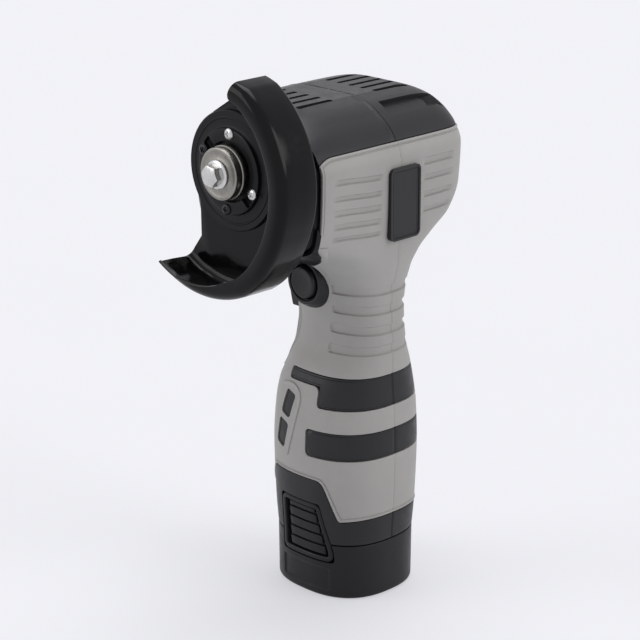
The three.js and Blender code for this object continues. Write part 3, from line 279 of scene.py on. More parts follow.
def run_through(places, values, at):
    """A smooth curve through the values that never overshoots them."""
    places, values, at = (np.asarray(v, float) for v in (places, values, at))
    gaps = np.diff(places)
    slopes = np.diff(values) / gaps
    ends = np.zeros_like(values)
    for k in range(1, len(values) - 1):
        if slopes[k - 1] * slopes[k] > 0:
            w1 = 2 * gaps[k] + gaps[k - 1]
            w2 = gaps[k] + 2 * gaps[k - 1]
            ends[k] = (w1 + w2) / (w1 / slopes[k - 1] + w2 / slopes[k])
    ends[0], ends[-1] = slopes[0], slopes[-1]
    k = np.clip(np.searchsorted(places, at) - 1, 0, len(gaps) - 1)
    h = gaps[k]
    t = np.clip((at - places[k]) / h, 0, 1)
    return (
        (1 + 2 * t) * (1 - t) ** 2 * values[k] + t * (1 - t) ** 2 * h * ends[k]
        + t * t * (3 - 2 * t) * values[k + 1] + t * t * (t - 1) * h * ends[k + 1]
    )


SECTION_COLUMNS = np.array(BODY_SECTIONS).T


def section(side, z):
    """Centre, half width, depth and squareness of the body's section at height z."""
    heights = SECTION_COLUMNS[0]
    back, front = (run_through(heights, SECTION_COLUMNS[k], z) for k in (1, 2))
    depth = run_through(heights, SECTION_COLUMNS[3 if side == NEAR else 4], z)
    power = run_through(heights, SECTION_COLUMNS[5], z)
    return (back - front) / 2, (back + front) / 2, depth, power


def corner_power(side, left, power):
    """The disc side's front corner is rounder than the others."""
    return np.where(left & (side == NEAR), np.minimum(power, 3), power)


def outline(side, angle, z):
    """The point of the section at that angle round it, from the +X seam."""
    centre, half, depth, power = section(side, z)
    cosine, sine = np.cos(angle), np.abs(np.sin(angle))
    n = corner_power(side, cosine < 0, power)
    reach = (np.abs(cosine) ** n + sine ** n) ** (-1 / n)
    return centre + half * reach * cosine, side * depth * reach * sine


def angle_at_y(side, y, z, left=False):
    _, _, depth, power = section(side, z)
    n = corner_power(side, np.full(np.shape(z), left), power)
    across = np.clip(y / depth, 0, WIDEST)
    found = np.arctan2(across, (1 - across ** n) ** (1 / n))
    return np.pi - found if left else found


def angle_at_x(side, x, z):
    centre, half, _, power = section(side, z)
    along = np.clip((x - centre) / half, -0.9999, 0.9999)
    n = corner_power(side, along < 0, power)
    return np.arctan2((1 - np.abs(along) ** n) ** (1 / n), along)


def surface_y(side, x, z):
    """The body's outer face over a point of the side view."""
    return outline(side, angle_at_x(side, x, z), z)[1]


def ease(t):
    t = np.clip(t, 0, 1)
    return t * t * (3 - 2 * t)


LEVELS = np.arange(20.0, 219.0, 0.25)
GRIP_TOP = 146.0

# A bead and a fine groove run along the sleeve's edges: distance in from the edge, and height
RIM = (0.0, 0.3, 0.8, 1.15, 1.45, 1.8)
RIM_HEIGHT = (0.0, 0.33, 0.33, -0.34, -0.34, 0.0)


def corner_level(y, left):
    """Where the front opening's edge turns from the chin up the side."""
    levels = np.arange(158.0, 176.0, 0.02)
    levels = levels[section(NEAR, levels)[2] > y * 1.0005]
    x, _ = outline(NEAR, angle_at_y(NEAR, y, levels, left), levels)
    return levels[np.argmax((-x if left else x) - levels)]


def low_edge(x, inwards):
    """Height of the sleeve's lower edge, moved into the grey by a distance."""
    level, step = 36.9 + 0.12 * np.maximum(x - 20.0, 0) + inwards, 54.9 + inwards
    right = 54.9 - 2.8 * (x - 12.5) + inwards * 2.97
    left = 54.6 + 1.89 * (x + 18.0) + inwards * 2.14
    slant = np.where(x > -4.0, right, left)

    def soft(a, b, spread):
        return spread * np.logaddexp(a / spread, b / spread)

    return soft(step, soft(level, slant, 0.5), np.where(x > -4.0, -2.6, -0.9))


def strip_shift(side, z):
    """The trigger's opening widens towards its foot on the near side."""
    return np.interp(z, (106.0, 113.0, 122.0, 132.0), (1.3, 1.1, 0.4, 0.0)) * (side == NEAR)


def key_angles(side, kind, value, share):
    """The angle round the body of one leading column, over all levels."""
    if kind == "seam":
        return np.full(LEVELS.shape, float(value))
    if kind == "x":
        return angle_at_x(side, value, LEVELS)
    if kind == "strip":
        return angle_at_y(side, value + strip_shift(side, LEVELS), LEVELS, True)
    left = kind == "left"
    if left:
        strip_reach = STRIP_HALF_WIDTH + RIM[-1] + strip_shift(side, LEVELS)
        inner, outer = angle_at_x(side, TAIL_START, LEVELS), angle_at_y(side, strip_reach, LEVELS, True)
        grip = inner + share * (outer - inner)
    else:
        grip = share * angle_at_x(side, 8.5, LEVELS)
    turn = corner_level(max(value, FRONT_FACE - RIM[-1]), left) if side == NEAR else 163.0
    head = angle_at_y(side, value, LEVELS, left)
    at_turn = np.interp(turn, LEVELS, head)
    lower = grip + (at_turn - grip) * ease((LEVELS - GRIP_TOP) / (turn - GRIP_TOP))
    return np.where(LEVELS >= turn, head, lower)


class Skin:
    """A patch of the body's surface: columns round it and rows up it, led by given lines."""

    def __init__(self, side, columns, rows):
        self.side = side
        keys = [key_angles(side, *key) for key, _ in columns]
        self.columns, lines = {columns[0][0][:2]: 0}, [keys[0]]
        for k, (_, count) in enumerate(columns[:-1]):
            lines += [keys[k] + (keys[k + 1] - keys[k]) * step / count for step in range(1, count + 1)]
            self.columns[columns[k + 1][0][:2]] = len(lines) - 1
        self.angles = lines
        keys = [self.row_line(*key) for key, _ in rows]
        self.rows, lines = {rows[0][0]: 0}, [keys[0]]
        for k, (_, count) in enumerate(rows[:-1]):
            lines += [keys[k] + (keys[k + 1] - keys[k]) * step / count for step in range(1, count + 1)]
            self.rows[rows[k + 1][0]] = len(lines) - 1
        self.z = np.array(lines)
        self.lift = np.zeros_like(self.z)
        self.settle()

    def settle(self):
        """Puts the points on the body's surface at their heights."""
        angle = np.stack([
            np.interp(self.z[:, j], LEVELS, line) for j, line in enumerate(self.angles)
        ], axis=1)
        self.x, self.y = outline(self.side, angle, self.z)

    def row_line(self, kind, value):
        count = len(self.angles)
        if kind == "level":
            return np.full(count, float(value))
        found = np.empty(count)
        for j, line in enumerate(self.angles):
            x, y = outline(self.side, line, LEVELS)
            if kind == "low":
                miss = np.maximum.accumulate(LEVELS - low_edge(x, value))
                found[j] = np.interp(0, miss, LEVELS)
            else:
                chin = (LEVELS > 150) & (LEVELS < 176)
                found[j] = np.interp(value, np.maximum.accumulate(-y[chin]), LEVELS[chin])
        if kind == "chin":
            found[:self.columns[("right", value)] + 1] = corner_level(value, False)
            found[self.columns[("left", value)]:] = corner_level(value, True)
        return found

    def build(self, name, gone=None):
        """Makes the patch from a grid, whose corners go to the surface plus their lift."""
        spots = np.stack([self.x, self.y, self.z], -1)
        normal = np.cross(np.gradient(spots, axis=1), np.gradient(spots, axis=0))
        normal /= np.maximum(np.linalg.norm(normal, axis=-1, keepdims=True), 1e-9)
        spots = spots + normal * (self.lift if self.side == FAR else -self.lift)[..., None]
        if self.side == NEAR:
            spots = spots[:, ::-1]
        piece = wrapped_grid(name, spots)
        if gone is not None:
            delete_faces(piece, gone[:, ::-1] if self.side == NEAR else gone)
        return piece


# Grey sleeve and black housing

# Two windows in the near sleeve beside the band, and the ridge round them
WINDOWS = (
    ((-13.0, 80.8), (-7.0, 78.9), (-3.7, 90.2), (-9.9, 92.0)),
    ((-16.1, 66.6), (-10.2, 64.4), (-7.3, 76.4), (-13.9, 78.4)),
)
POD_RIDGE = (
    (-13.5, 93.4), (-8.5, 95.0), (-3.8, 94.4), (-0.9, 91.6), (-0.6, 88.0), (-2.8, 79.0), (-5.2, 70.0), (-7.4, 62.5),
)
POD_PROFILE = ((-0.7, -0.7), (-0.5, -0.05), (-0.25, 0.5), (0.3, 0.55), (1.3, 0.0), (1.4, -0.7))
# Where the five housing screws are reached from the far side
SCREW_PLACES = ((20.0, 167.9), (-38.0, 172.0), (20.0, 150.9), (16.0, 106.5), (-12.0, 106.5))
WELL_RADIUS = 3.4

NEAR_SIDE_GROOVES = ((168.1, 169.8), (173.1, 175.4), (178.8, 181.3), (185.1, 187.1), (191.8, 194.0))
FAR_SIDE_GROOVES = ((170.8, 172.8), (177.3, 179.6), (184.5, 186.8), (191.2, 194.2))
GRIP_GROOVES = (113.2, 122.0, 130.8, 139.5)
TAIL_START = -9.8
STRIP_HALF_WIDTH, STRIP_LOW, STRIP_TOP = 13.6, 98.0, 152.0

# Square block of the near sleeve's grid that is turned into rings round the lock button
BLOCK_LOW, BLOCK_HALF, BLOCK_EDGE = 128.3, 22, 12
RING_REACH = (10.1, 10.4, 10.7, 11.0, 11.25, 11.5, 11.7)
RING_HEIGHT = (0.0, 0.0, 0.0, 0.0, 0.0, 0.0, 0.0)
BUTTON_X, BUTTON_Z = -2.9, 140.4


def front_line(inwards):
    return round(FRONT_FACE - inwards, 3)


def top_line(inwards):
    return round(CAP_EDGE - inwards, 3)


def sleeve_columns(side):
    columns = [(("seam", 0.0, 0), 1), (("right", 0.3, 0.01), 1), (("right", 0.7, 0.024), 8)]
    if side == NEAR:
        columns += [(("right", 11.2, 0.2), 20), (("right", 38.5, 0.42), 4)]
        for number, inwards in enumerate(reversed(RIM)):
            columns.append((("right", front_line(inwards), 0.5 + 0.03 * number), 1))
        columns[-1] = (columns[-1][0], 16)
    else:
        columns += [(("right", 14.0, 0.25), 14), (("right", 32.0, 0.5), 24)]
    columns += [
        (("x", 10.5, 0), 2), (("x", 9.2, 0), 1), (("x", 8.5, 0), 3), (("x", 6.5, 0), 2), (("x", 5.5, 0), 3),
        (("x", 3.5, 0), 3), (("x", 1.5, 0), 14), (("x", TAIL_START + 1.5, 0), 2), (("x", TAIL_START, 0), 12),
    ]
    if side == NEAR:
        for number, inwards in enumerate(RIM):
            columns.append((("left", front_line(inwards), 0.45 + 0.03 * number), 1))
    else:
        columns.append((("left", 34.0, 0.6), 1))
    columns[-1] = (columns[-1][0], 16)
    columns += [(("strip", strip_line(inwards), 0), 1) for inwards in reversed(RIM)]
    columns[-1] = (columns[-1][0], 10)
    return columns + [(("seam", math.pi, 0), 1)]


def strip_line(inwards):
    return round(STRIP_HALF_WIDTH + inwards, 3)


def sleeve_rows(side):
    rows = [(("low", inwards), 1) for inwards in RIM]
    rows[-1] = (rows[-1][0], 9)
    rows += [(("level", 65.2), 3), (("level", 67.2), 7), (("level", 75.7), 3), (("level", 77.7), 7)]
    rows += [(("level", 87.7), 3), (("level", 89.7), 4), (("level", 94.5), 2)]
    rows += [(("level", z), 1) for z in (96.2, 96.5, 96.65, 96.9, 97.2, 97.7)]
    rows += [(("level", 98.0), 4), (("level", 101.8), 8)]
    for middle, after in zip(GRIP_GROOVES, (5, 4, 8, 16)):
        if middle == GRIP_GROOVES[2]:
            rows[-1] = (rows[-1][0], 3)
            rows.append((("level", BLOCK_LOW), 1))
        rows += [(("level", round(middle + share, 3)), count) for share, count in (
            (-2.15, 1), (-1.65, 5 if middle > 126 else 3), (1.65, 1), (2.15, after),
        )]
    rows += [(("level", round(STRIP_TOP + inwards, 3)), 1) for inwards in RIM]
    if side == NEAR:
        rows[-1] = (rows[-1][0], 4)
        rows += [(("chin", front_line(inwards)), 1) for inwards in reversed(RIM)]
        rows[-1] = (rows[-1][0], 4)
    else:
        rows[-1] = (rows[-1][0], 6)
        rows += [(("level", 163.0), 5)]
    for low, high in NEAR_SIDE_GROOVES if side == NEAR else FAR_SIDE_GROOVES:
        rows += [(("level", round(z, 3)), count) for z, count in (
            (low - 0.2, 1), (low + 0.3, 3), (high - 0.3, 1), (high + 0.2, 4),
        )]
    rows += [(("level", top_line(inwards)), 1) for inwards in reversed(RIM)]
    return rows


def inside_box(x, z, low, high, radius):
    """Distance in from the edge of a rounded box in the side view; negative outside."""
    middle_x, middle_z = (low[0] + high[0]) / 2, (low[1] + high[1]) / 2
    dx = np.abs(x - middle_x) - (high[0] - low[0]) / 2 + radius
    dz = np.abs(z - middle_z) - (high[1] - low[1]) / 2 + radius
    outside = np.hypot(np.maximum(dx, 0), np.maximum(dz, 0))
    return radius - outside - np.minimum(np.maximum(dx, dz), 0)


def dip_to_opening(skin, low, high):
    """The line between sleeve and crown curves down beside the front opening."""
    along = np.clip((-skin.y - 37.0) / (FRONT_FACE - 37.0), 0, 1) ** 2
    along = np.where(skin.x > SPINDLE_X, along, 0)
    skin.z = skin.z - 2.3 * along * ease((skin.z - low) / 6.0) * ease((high - skin.z) / 5.0)
    skin.settle()


def lean_side_rows(skin):
    """The near side's grooves lean down towards the plate."""
    along = ease((38.5 + skin.y) / 27.3)
    lower, upper = ease((skin.z - 163.5) / 4.5), ease((202.4 - skin.z) / 8.0)
    only_right = skin.x > SPINDLE_X
    skin.nominal = skin.z.copy()
    skin.z = skin.z - 2.0 * along * lower * upper * np.where(only_right, 1, 0.0)
    skin.settle()


def groove_lifts(skin, sizes):
    """Grip grooves across the palm side and shallow grooves on the sides of the head."""
    depth = np.zeros_like(skin.z)
    for middle in GRIP_GROOVES:
        side_start = -60.0 if skin.side == FAR else 9.2 if middle > 126 else 7.8
        within = inside_box(skin.x, skin.z, (side_start, middle - 2.15), (60.0, middle + 2.15), 1.6)
        if skin.side == FAR:
            within = np.minimum(within, 15.0 - skin.y)
            within = np.where(skin.x > 0, within, -1)
        depth = np.maximum(depth, sizes.grip_groove_depth * 1000 * ease(within / 0.5))
    reach = (11.2, 38.5) if skin.side == NEAR else (14.0, 32.0)
    for low, high in NEAR_SIDE_GROOVES if skin.side == NEAR else FAR_SIDE_GROOVES:
        within = inside_box(
            np.abs(skin.y), skin.nominal, (reach[0] - 0.2, low - 0.2), (reach[1] + 0.2, high + 0.2), 1.1,
        )
        depth = np.maximum(depth, sizes.side_groove_depth * 1000 * ease(within / 0.5))
    return -depth


def rim_lifts(skin):
    count_z, count_x = skin.z.shape
    rows, columns = np.arange(count_z)[:, None], np.arange(count_x)[None, :]
    low = np.interp(rows, [skin.rows[("low", d)] for d in RIM], RIM, right=9.0)
    top = np.interp(rows, [skin.rows[("level", top_line(d))] for d in reversed(RIM)], RIM[::-1], left=9.0)
    strip_columns = [skin.columns[("strip", strip_line(d))] for d in reversed(RIM)]
    strip = np.interp(columns, strip_columns, RIM[::-1], left=9.0)
    levels = [STRIP_LOW - d for d in reversed(RIM)] + [STRIP_TOP + d for d in RIM]
    beyond = np.interp(skin.z, levels, (*RIM[::-1], *RIM), left=9.0, right=9.0)
    strip = np.maximum(strip, beyond)
    edge = np.minimum(np.minimum(low, top), strip)
    if skin.side == NEAR:
        chin_rows = [skin.rows[("chin", front_line(d))] for d in reversed(RIM)]
        chin = np.interp(rows, chin_rows, RIM[::-1], left=9.0)
        right = np.interp(
            columns, [skin.columns[("right", front_line(d))] for d in reversed(RIM)], RIM[::-1], left=9.0,
        )
        left = np.interp(columns, [skin.columns[("left", front_line(d))] for d in RIM], RIM, right=9.0)
        edge = np.minimum(edge, np.maximum(chin, np.maximum(right, left)))
    height = np.interp(edge, RIM, RIM_HEIGHT, right=0.0)
    if skin.side == NEAR:
        height = np.where((skin.y < -34.0) & (skin.z > 155.0), height * ease((skin.z - 170.0) / 4.0), height)
    return height


def ring_round_button(skin):
    """Draws the grid's square block into circles round the button; returns which faces lie inside."""
    first_row, first_column = skin.rows[("level", BLOCK_LOW)], skin.columns[("x", 9.2)]
    size = 2 * BLOCK_HALF
    block = (slice(first_row, first_row + size + 1), slice(first_column, first_column + size + 1))
    x, z = skin.x[block].copy(), skin.z[block].copy()
    i, j = np.mgrid[-BLOCK_HALF:BLOCK_HALF + 1, -BLOCK_HALF:BLOCK_HALF + 1]
    ring = np.maximum(np.abs(i), np.abs(j))
    scale = BLOCK_HALF / np.maximum(ring, 1)
    at_i, at_j = i * scale + BLOCK_HALF, j * scale + BLOCK_HALF
    low_i, low_j = (np.clip(np.floor(at).astype(int), 0, size - 1) for at in (at_i, at_j))
    part_i, part_j = at_i - low_i, at_j - low_j

    def between(grid):
        upper = grid[low_i, low_j] * (1 - part_j) + grid[low_i, low_j + 1] * part_j
        lower = grid[low_i + 1, low_j] * (1 - part_j) + grid[low_i + 1, low_j + 1] * part_j
        return upper * (1 - part_i) + lower * part_i

    edge_x, edge_z = between(x), between(z)
    turn = np.arctan2(edge_z - BUTTON_Z, edge_x - BUTTON_X)
    rings = np.arange(BLOCK_EDGE, BLOCK_EDGE + len(RING_REACH))
    reach = np.interp(ring, np.append(0, rings), (0, *RING_REACH))
    share = np.clip((ring - rings[-1]) / (BLOCK_HALF - rings[-1]), 0, 1)
    skin.x[block] = (BUTTON_X + reach * np.cos(turn)) * (1 - share) + edge_x * share
    skin.z[block] = (BUTTON_Z + reach * np.sin(turn)) * (1 - share) + edge_z * share
    skin.y[block] = surface_y(skin.side, skin.x[block], skin.z[block])
    skin.lift[block] = np.where(ring <= rings[-1], np.interp(ring, rings, RING_HEIGHT), skin.lift[block])
    inside = np.zeros((skin.z.shape[0] - 1, skin.z.shape[1] - 1), bool)
    middle_row, middle_column = first_row + BLOCK_HALF, first_column + BLOCK_HALF
    across_rows = slice(middle_row - BLOCK_EDGE, middle_row + BLOCK_EDGE)
    across_columns = slice(middle_column - BLOCK_EDGE, middle_column + BLOCK_EDGE)
    inside[across_rows, across_columns] = True
    return inside


def round_corner(skin, row, column, row_step, column_step, radius):
    """Draws the square next to a corner of an opening into a quarter circle."""
    corner_x, corner_z = skin.x[row, column], skin.z[row, column]
    side_x = np.sign(skin.x[row, column + column_step] - corner_x)
    centre = (corner_x + side_x * radius, corner_z + row_step * radius)
    for r in (row + k * row_step for k in range(12)):
        for j in (column + k * column_step for k in range(12)):
            dx, dz = skin.x[r, j] - centre[0], skin.z[r, j] - centre[1]
            if dx * side_x < 0 and dz * row_step < 0 and max(abs(dx), abs(dz)) < radius + 0.01:
                scale = max(abs(dx), abs(dz)) / math.hypot(dx, dz)
                skin.x[r, j], skin.z[r, j] = centre[0] + dx * scale, centre[1] + dz * scale
                skin.y[r, j] = surface_y(skin.side, skin.x[r, j], skin.z[r, j])


def make_sleeve(side, sizes):
    """The grey sleeve of one half: a skin with its openings left out, given its wall."""
    skin = Skin(side, sleeve_columns(side), sleeve_rows(side))
    skin.nominal = skin.z
    if side == NEAR:
        lean_side_rows(skin)
        dip_to_opening(skin, 195.0, 240.0)
    skin.lift = groove_lifts(skin, sizes) + rim_lifts(skin) - 0.7 * seam_depth(skin.x, np.abs(skin.y))
    row = lambda z: skin.rows[("level", z)]
    column = lambda x: skin.columns[("x", x)]
    gone = np.zeros((skin.z.shape[0] - 1, skin.z.shape[1] - 1), bool)
    gone[row(65.2):row(77.7), :column(3.5)] = True
    gone[row(87.7):row(101.8), :column(8.5)] = True
    gone[row(96.5):row(101.8), :column(TAIL_START)] = True
    gone[row(STRIP_LOW):row(STRIP_TOP), skin.columns[("strip", STRIP_HALF_WIDTH)]:] = True
    if side == NEAR:
        gone |= ring_round_button(skin)
        first, last = skin.columns[("right", FRONT_FACE)], skin.columns[("left", FRONT_FACE)]
        gone[skin.rows[("chin", FRONT_FACE)]:, first:last] = True
    round_corner(skin, row(65.2), column(3.5), 1, -1, 2.4)
    round_corner(skin, row(77.7), column(3.5), -1, -1, 2.0)
    round_corner(skin, row(87.7), column(8.5), 1, -1, 2.0)
    round_corner(skin, row(96.5), column(8.5), -1, 1, 2.6)
    round_corner(skin, row(96.5), column(TAIL_START), 1, -1, 1.3)
    round_corner(skin, row(101.8), column(TAIL_START), -1, -1, 1.5)
    piece = skin.build("grey_sleeve_near" if side == NEAR else "grey_sleeve_far", gone)
    wall = piece.modifiers.new("wall", "SOLIDIFY")
    wall.thickness, wall.offset = sizes.sleeve_wall, -1
    round_edges(piece, 0.25, 2, 62)
    if side == NEAR:
        for window in WINDOWS:
            cut(piece, prism("window", rounded(window, 1.5, 2.0), -33.0, -15.0))
        return join(piece, bead_along("pod_ridge", NEAR, smooth_line(POD_RIDGE, 60), POD_PROFILE))
    for x, z in SCREW_PLACES:
        cut(piece, rod("screw_hole", WELL_RADIUS, 8.0, 60.0, x, z, 40))
    return piece


BAND_STEP = (0.15, 0.3, 0.5, 1.1, 1.4)
BAND_HEIGHT = (-1.9, -0.5, -0.3, -0.3, 0.0)


def shell_columns(side):
    columns = [(("seam", 0.0, 0), 1), (("right", 0.25, 0.009), 1), (("right", 0.6, 0.02), 7)]
    if side == NEAR:
        columns += [(("right", 11.2, 0.2), 10), (("right", 38.5, 0.42), 14)]
    else:
        columns += [(("right", 14.0, 0.25), 10), (("right", 32.0, 0.5), 14)]
    for start, count in ((8.5, 3), (3.5, 9), (TAIL_START, 16)):
        columns += [(("x", start + step, 0), 1) for step in reversed(BAND_STEP)]
        columns[-1] = (columns[-1][0], count)
    strip = [(("strip", round(STRIP_HALF_WIDTH - step, 3), 0), 1) for step in BAND_STEP]
    strip[-1] = (strip[-1][0], 9)
    return columns + strip + [(("seam", math.pi, 0), 1)]


def shell_rows():
    rows = [(("level", 25.55), 1), (("level", 25.75), 1), (("level", 26.2), 8)]
    rows += [(("low", -step), 1) for step in (1.3, 0.9, 0.5, 0.3, 0.15)]
    rows[-1] = (rows[-1][0], 6)
    for low, high, count in ((65.2, 77.7, 8), (87.7, 96.5, 5), (96.5, 101.8, 3)):
        if low == 65.2 or low == 87.7:
            rows += [(("level", low + step), 1) for step in BAND_STEP]
            rows[-1] = (rows[-1][0], count)
        else:
            rows += [(("level", low + step), 1) for step in BAND_STEP]
        if high != 96.5:
            rows += [(("level", high - step), 1) for step in reversed(BAND_STEP)]
            rows[-1] = (rows[-1][0], 6)
    rows[-1] = (rows[-1][0], 30)
    rows += [(("level", 150.5), 1), (("level", 151.7), 4), (("level", 157.0), 1)]
    return rows


def seam_depth(x, beside):
    """The fine groove where the two halves meet down the palm side."""
    return np.where(x > 0, 0.35 * ease((0.5 - beside) / 0.3), 0.0)


def shell_lifts(skin):
    x, y, z = skin.x, np.abs(skin.y), skin.z
    wide = 200.0
    lower = inside_box(x, z, (3.5, 65.2), (wide, 77.7), 2.0)
    upper = inside_box(x, z, (8.5, 87.7), (wide, 101.8), 2.0)
    tail = inside_box(x, z, (TAIL_START, 96.5), (wide, 101.8), 1.4)
    strip = inside_box(y - strip_shift(skin.side, z), z, (-wide, STRIP_LOW), (STRIP_HALF_WIDTH, STRIP_TOP), 1.5)
    strip = np.where(x < -5, strip, -9)
    inside = np.maximum(np.maximum(lower, upper), np.maximum(tail, strip))
    lift = np.interp(inside, (0.15, *BAND_STEP[1:]), BAND_HEIGHT)
    base = low_edge(x, 0.0) - z
    foot = np.interp(base, (0.15, 0.3, 0.5, 0.9), (-1.9, -0.5, -0.15, 0.0))
    lift = np.maximum(lift, foot) - seam_depth(x, y)
    return np.where(z < 25.6, -0.35, np.where(z < 25.8, np.minimum(lift, -0.1), lift))


def make_grip_shell(side):
    skin = Skin(side, shell_columns(side), shell_rows())
    skin.lift = shell_lifts(skin)
    piece = skin.build("grip_shell")
    wall = piece.modifiers.new("wall", "SOLIDIFY")
    wall.thickness, wall.offset = 1.2 * MM, -1
    return bake_modifiers(piece)


def make_cap(side):
    """The black crown over the motor, over the near or far half; a skirt steps in behind the sleeve."""
    columns = [(("seam", 0.0, 0), 1), (("right", 0.3, 0), 1), (("right", 0.6, 0), 2), (("right", 1.6, 0), 1),
               (("right", 2.1, 0), 26)]
    if side == NEAR:
        full = float(np.interp(-FRONT_FACE / WIDEST, -section(NEAR, LEVELS[-60:])[2], LEVELS[-60:]))
        columns += [(("right", FRONT_FACE, 0), 6), (("left", FRONT_FACE, 0), 28)]
        levels = list(np.linspace(204.3, full, 20)[:-1]) + [full]
    else:
        full = 212.0
        columns += [(("right", 30.0, 0), 20), (("x", SPINDLE_X, 0), 20), (("left", 30.0, 0), 22)]
        levels = list(np.linspace(204.3, full, 20))
    columns += [(("left", 0.3, 0), 1), (("seam", math.pi, 0), 1)]
    levels += list(np.linspace(full, CROWN_TOP - 0.5, 14)[1:]) + [218.6, 218.75, 218.85]
    skirt = ((202.5, -1.9), (203.5, -1.8), (203.52, -0.45), (203.65, -0.12), (203.9, 0.0))
    rows = [(("level", z), 1) for z, _ in skirt] + [(("level", round(z, 4)), 1) for z in levels]
    skin = Skin(side, columns, rows)
    if side == NEAR:
        dip_to_opening(skin, 100.0, 210.0)
    skin.lift[:len(skirt)] = np.array([lift for _, lift in skirt])[:, None]
    beside = np.abs(skin.y)
    bead = 0.22 * ease((2.1 - beside) / 0.5) * (skin.lift == 0) if side == NEAR else 0.0
    seam = -0.6 * ease((0.35 - beside) / 0.3)
    skin.lift = skin.lift + bead + seam
    gone = np.zeros((skin.z.shape[0] - 1, skin.z.shape[1] - 1), bool)
    if side == NEAR:
        top = skin.rows[("level", round(full, 4))]
        gone[:top, skin.columns[("right", FRONT_FACE)]:skin.columns[("left", FRONT_FACE)]] = True
    centre = float(section(side, 218.85)[0])
    steps = np.linspace(0, 1, 16)[1:, None]
    skin.x = np.concatenate([skin.x, centre + (skin.x[-1:] - centre) * (1 - steps)])
    skin.y = np.concatenate([skin.y, skin.y[-1:] * (1 - steps)])
    skin.z = np.concatenate([skin.z, CROWN_TOP - 0.05 * (1 - steps) ** 2 + 0 * skin.z[-1:]])
    seam = -0.6 * ease((0.35 - np.abs(skin.y[len(skin.lift):])) / 0.3)
    skin.lift = np.concatenate([skin.lift, seam])
    gone = np.concatenate([gone, np.zeros((len(steps), gone.shape[1]), bool)])
    piece = merge_doubles(skin.build("cap", gone))
    wall = piece.modifiers.new("wall", "SOLIDIFY")
    wall.thickness, wall.offset = 2.0 * MM, -1
    return bake_modifiers(piece)


def vent_cutters():
    """Rounded slots through the crown, and the sunk channel on each shoulder."""
    made = []
    for number in range(5):
        x = SPINDLE_X + (number - 2) * 6.9 + 1.1
        for low, high in ((11.2, 32.0), (-33.0, -13.2)):
            slot = box("slot", (x - 1.25, low, 206), (x + 1.25, high, 226))
            made.append(round_edges(slot, 1.1, 4, 60))
    for sign in (1, -1):
        made.append(prism("channel", mirrored_about_spindle(CHANNEL, sign), 5.0, 60.0))
    return made


CHANNEL = ((12.6, 214.3), (19.6, 210.1), (24.0, 219.0), (15.0, 224.0))
CHANNEL_LINER = (
    (12.6, 214.3), (19.6, 210.1), (19.6, 211.9), (20.8, 211.2), (20.8, 207.6), (11.4, 212.4), (11.4, 216.4), (12.6, 216.0),
)


def mirrored_about_spindle(points, sign):
    return [(SPINDLE_X + sign * (x - SPINDLE_X), z) for x, z in points]


def make_channel_liner(sign):
    """Floor, sides and end of the sunk channel on a shoulder."""
    liner = prism("channel_liner", mirrored_about_spindle(CHANNEL_LINER, sign), 4.4, 41.3)
    for vertex in liner.data.vertices:
        if vertex.co.y > 20 * MM:
            x, z = (np.array([v * 1000]) for v in (vertex.co.x, min(vertex.co.z, CROWN_TOP * MM)))
            vertex.co.y = (float(surface_y(FAR, x, z)[0]) - 0.15) * MM
    end = prism("channel_end", mirrored_about_spindle(
        ((11.4, 215.9), (11.4, 212.0), (20.8, 207.6), (20.8, 210.9)), sign), 3.6, 5.0)
    return join(liner, end)


def make_window(window):
    """The black inlay in a window of the sleeve."""
    return plaque("window_inlay", NEAR, rounded(grown(window, -0.1), 1.4, 1.2), -0.5, 1.6, 0.3)


def make_well(x, z):
    """The tube down to a housing screw's head."""
    top = float(surface_y(FAR, np.array([x]), np.array([z]))[0]) - 1.0
    corners = [(x + a, z + b) for a in (-3.6, 3.6) for b in (-3.6, 3.6)]
    lean = float(min(surface_y(FAR, np.array([a]), np.array([b]))[0] for a, b in corners))
    top = min(top, lean - 0.6)
    return turned("screw_well", [
        (WELL_RADIUS + 0.6, 11.4), (WELL_RADIUS + 0.6, top), (WELL_RADIUS, top), (WELL_RADIUS, 12.0),
        (2.0, 12.0), (2.0, 11.4), (WELL_RADIUS + 0.6, 11.4),
    ], x, z, steps=40)


def make_housing(side):
    cap = make_cap(side)
    for cutter in vent_cutters():
        low = min(v.co.y for v in cutter.data.vertices)
        if (low < 0) == (side == NEAR):
            cut(cap, cutter)
        else:
            bpy.data.objects.remove(cutter)
    shell = make_grip_shell(side)
    notch = rounded(grown(LATCH_OUTLINE, 2.6), 1.6, 3.0)
    low, high = sorted((side * 21.0, side * 32.0))
    cut(shell, prism("latch_notch", notch, low, high))
    if side == FAR:
        for x, z in SCREW_PLACES[2:]:
            cut(shell, rod("screw_hole", WELL_RADIUS, 8.0, 60.0, x, z, 40))
    piece = join(shell, cap)
    if side == FAR:
        wells = [make_well(x, z) for x, z in SCREW_PLACES]
        join(piece, make_channel_liner(1), make_channel_liner(-1), *wells)
    else:
        join(piece, *(make_window(window) for window in WINDOWS))
    piece.name = piece.data.name = "housing_shell_near" if side == NEAR else "housing_shell_far"
    return piece


# Outlines drawn on the side of the body, and what is made along them

LATCH_OUTLINE = ((-10.4, 19.1), (14.1, 19.1), (13.9, 21.6), (8.7, 41.1), (-10.4, 41.1))


def grown(points, margin):
    """An outline moved outwards by a margin, corner by corner; the points run anticlockwise."""
    made = []
    count = len(points)
    for k in range(count):
        before, here, after = (np.array(points[(k + d) % count], float) for d in (-1, 0, 1))
        first, second = here - before, after - here
        first, second = first / np.linalg.norm(first), second / np.linalg.norm(second)
        out_first, out_second = np.array((first[1], -first[0])), np.array((second[1], -second[0]))
        middle = out_first + out_second
        made.append(tuple(here + middle * margin / (middle @ out_first)))
    return made


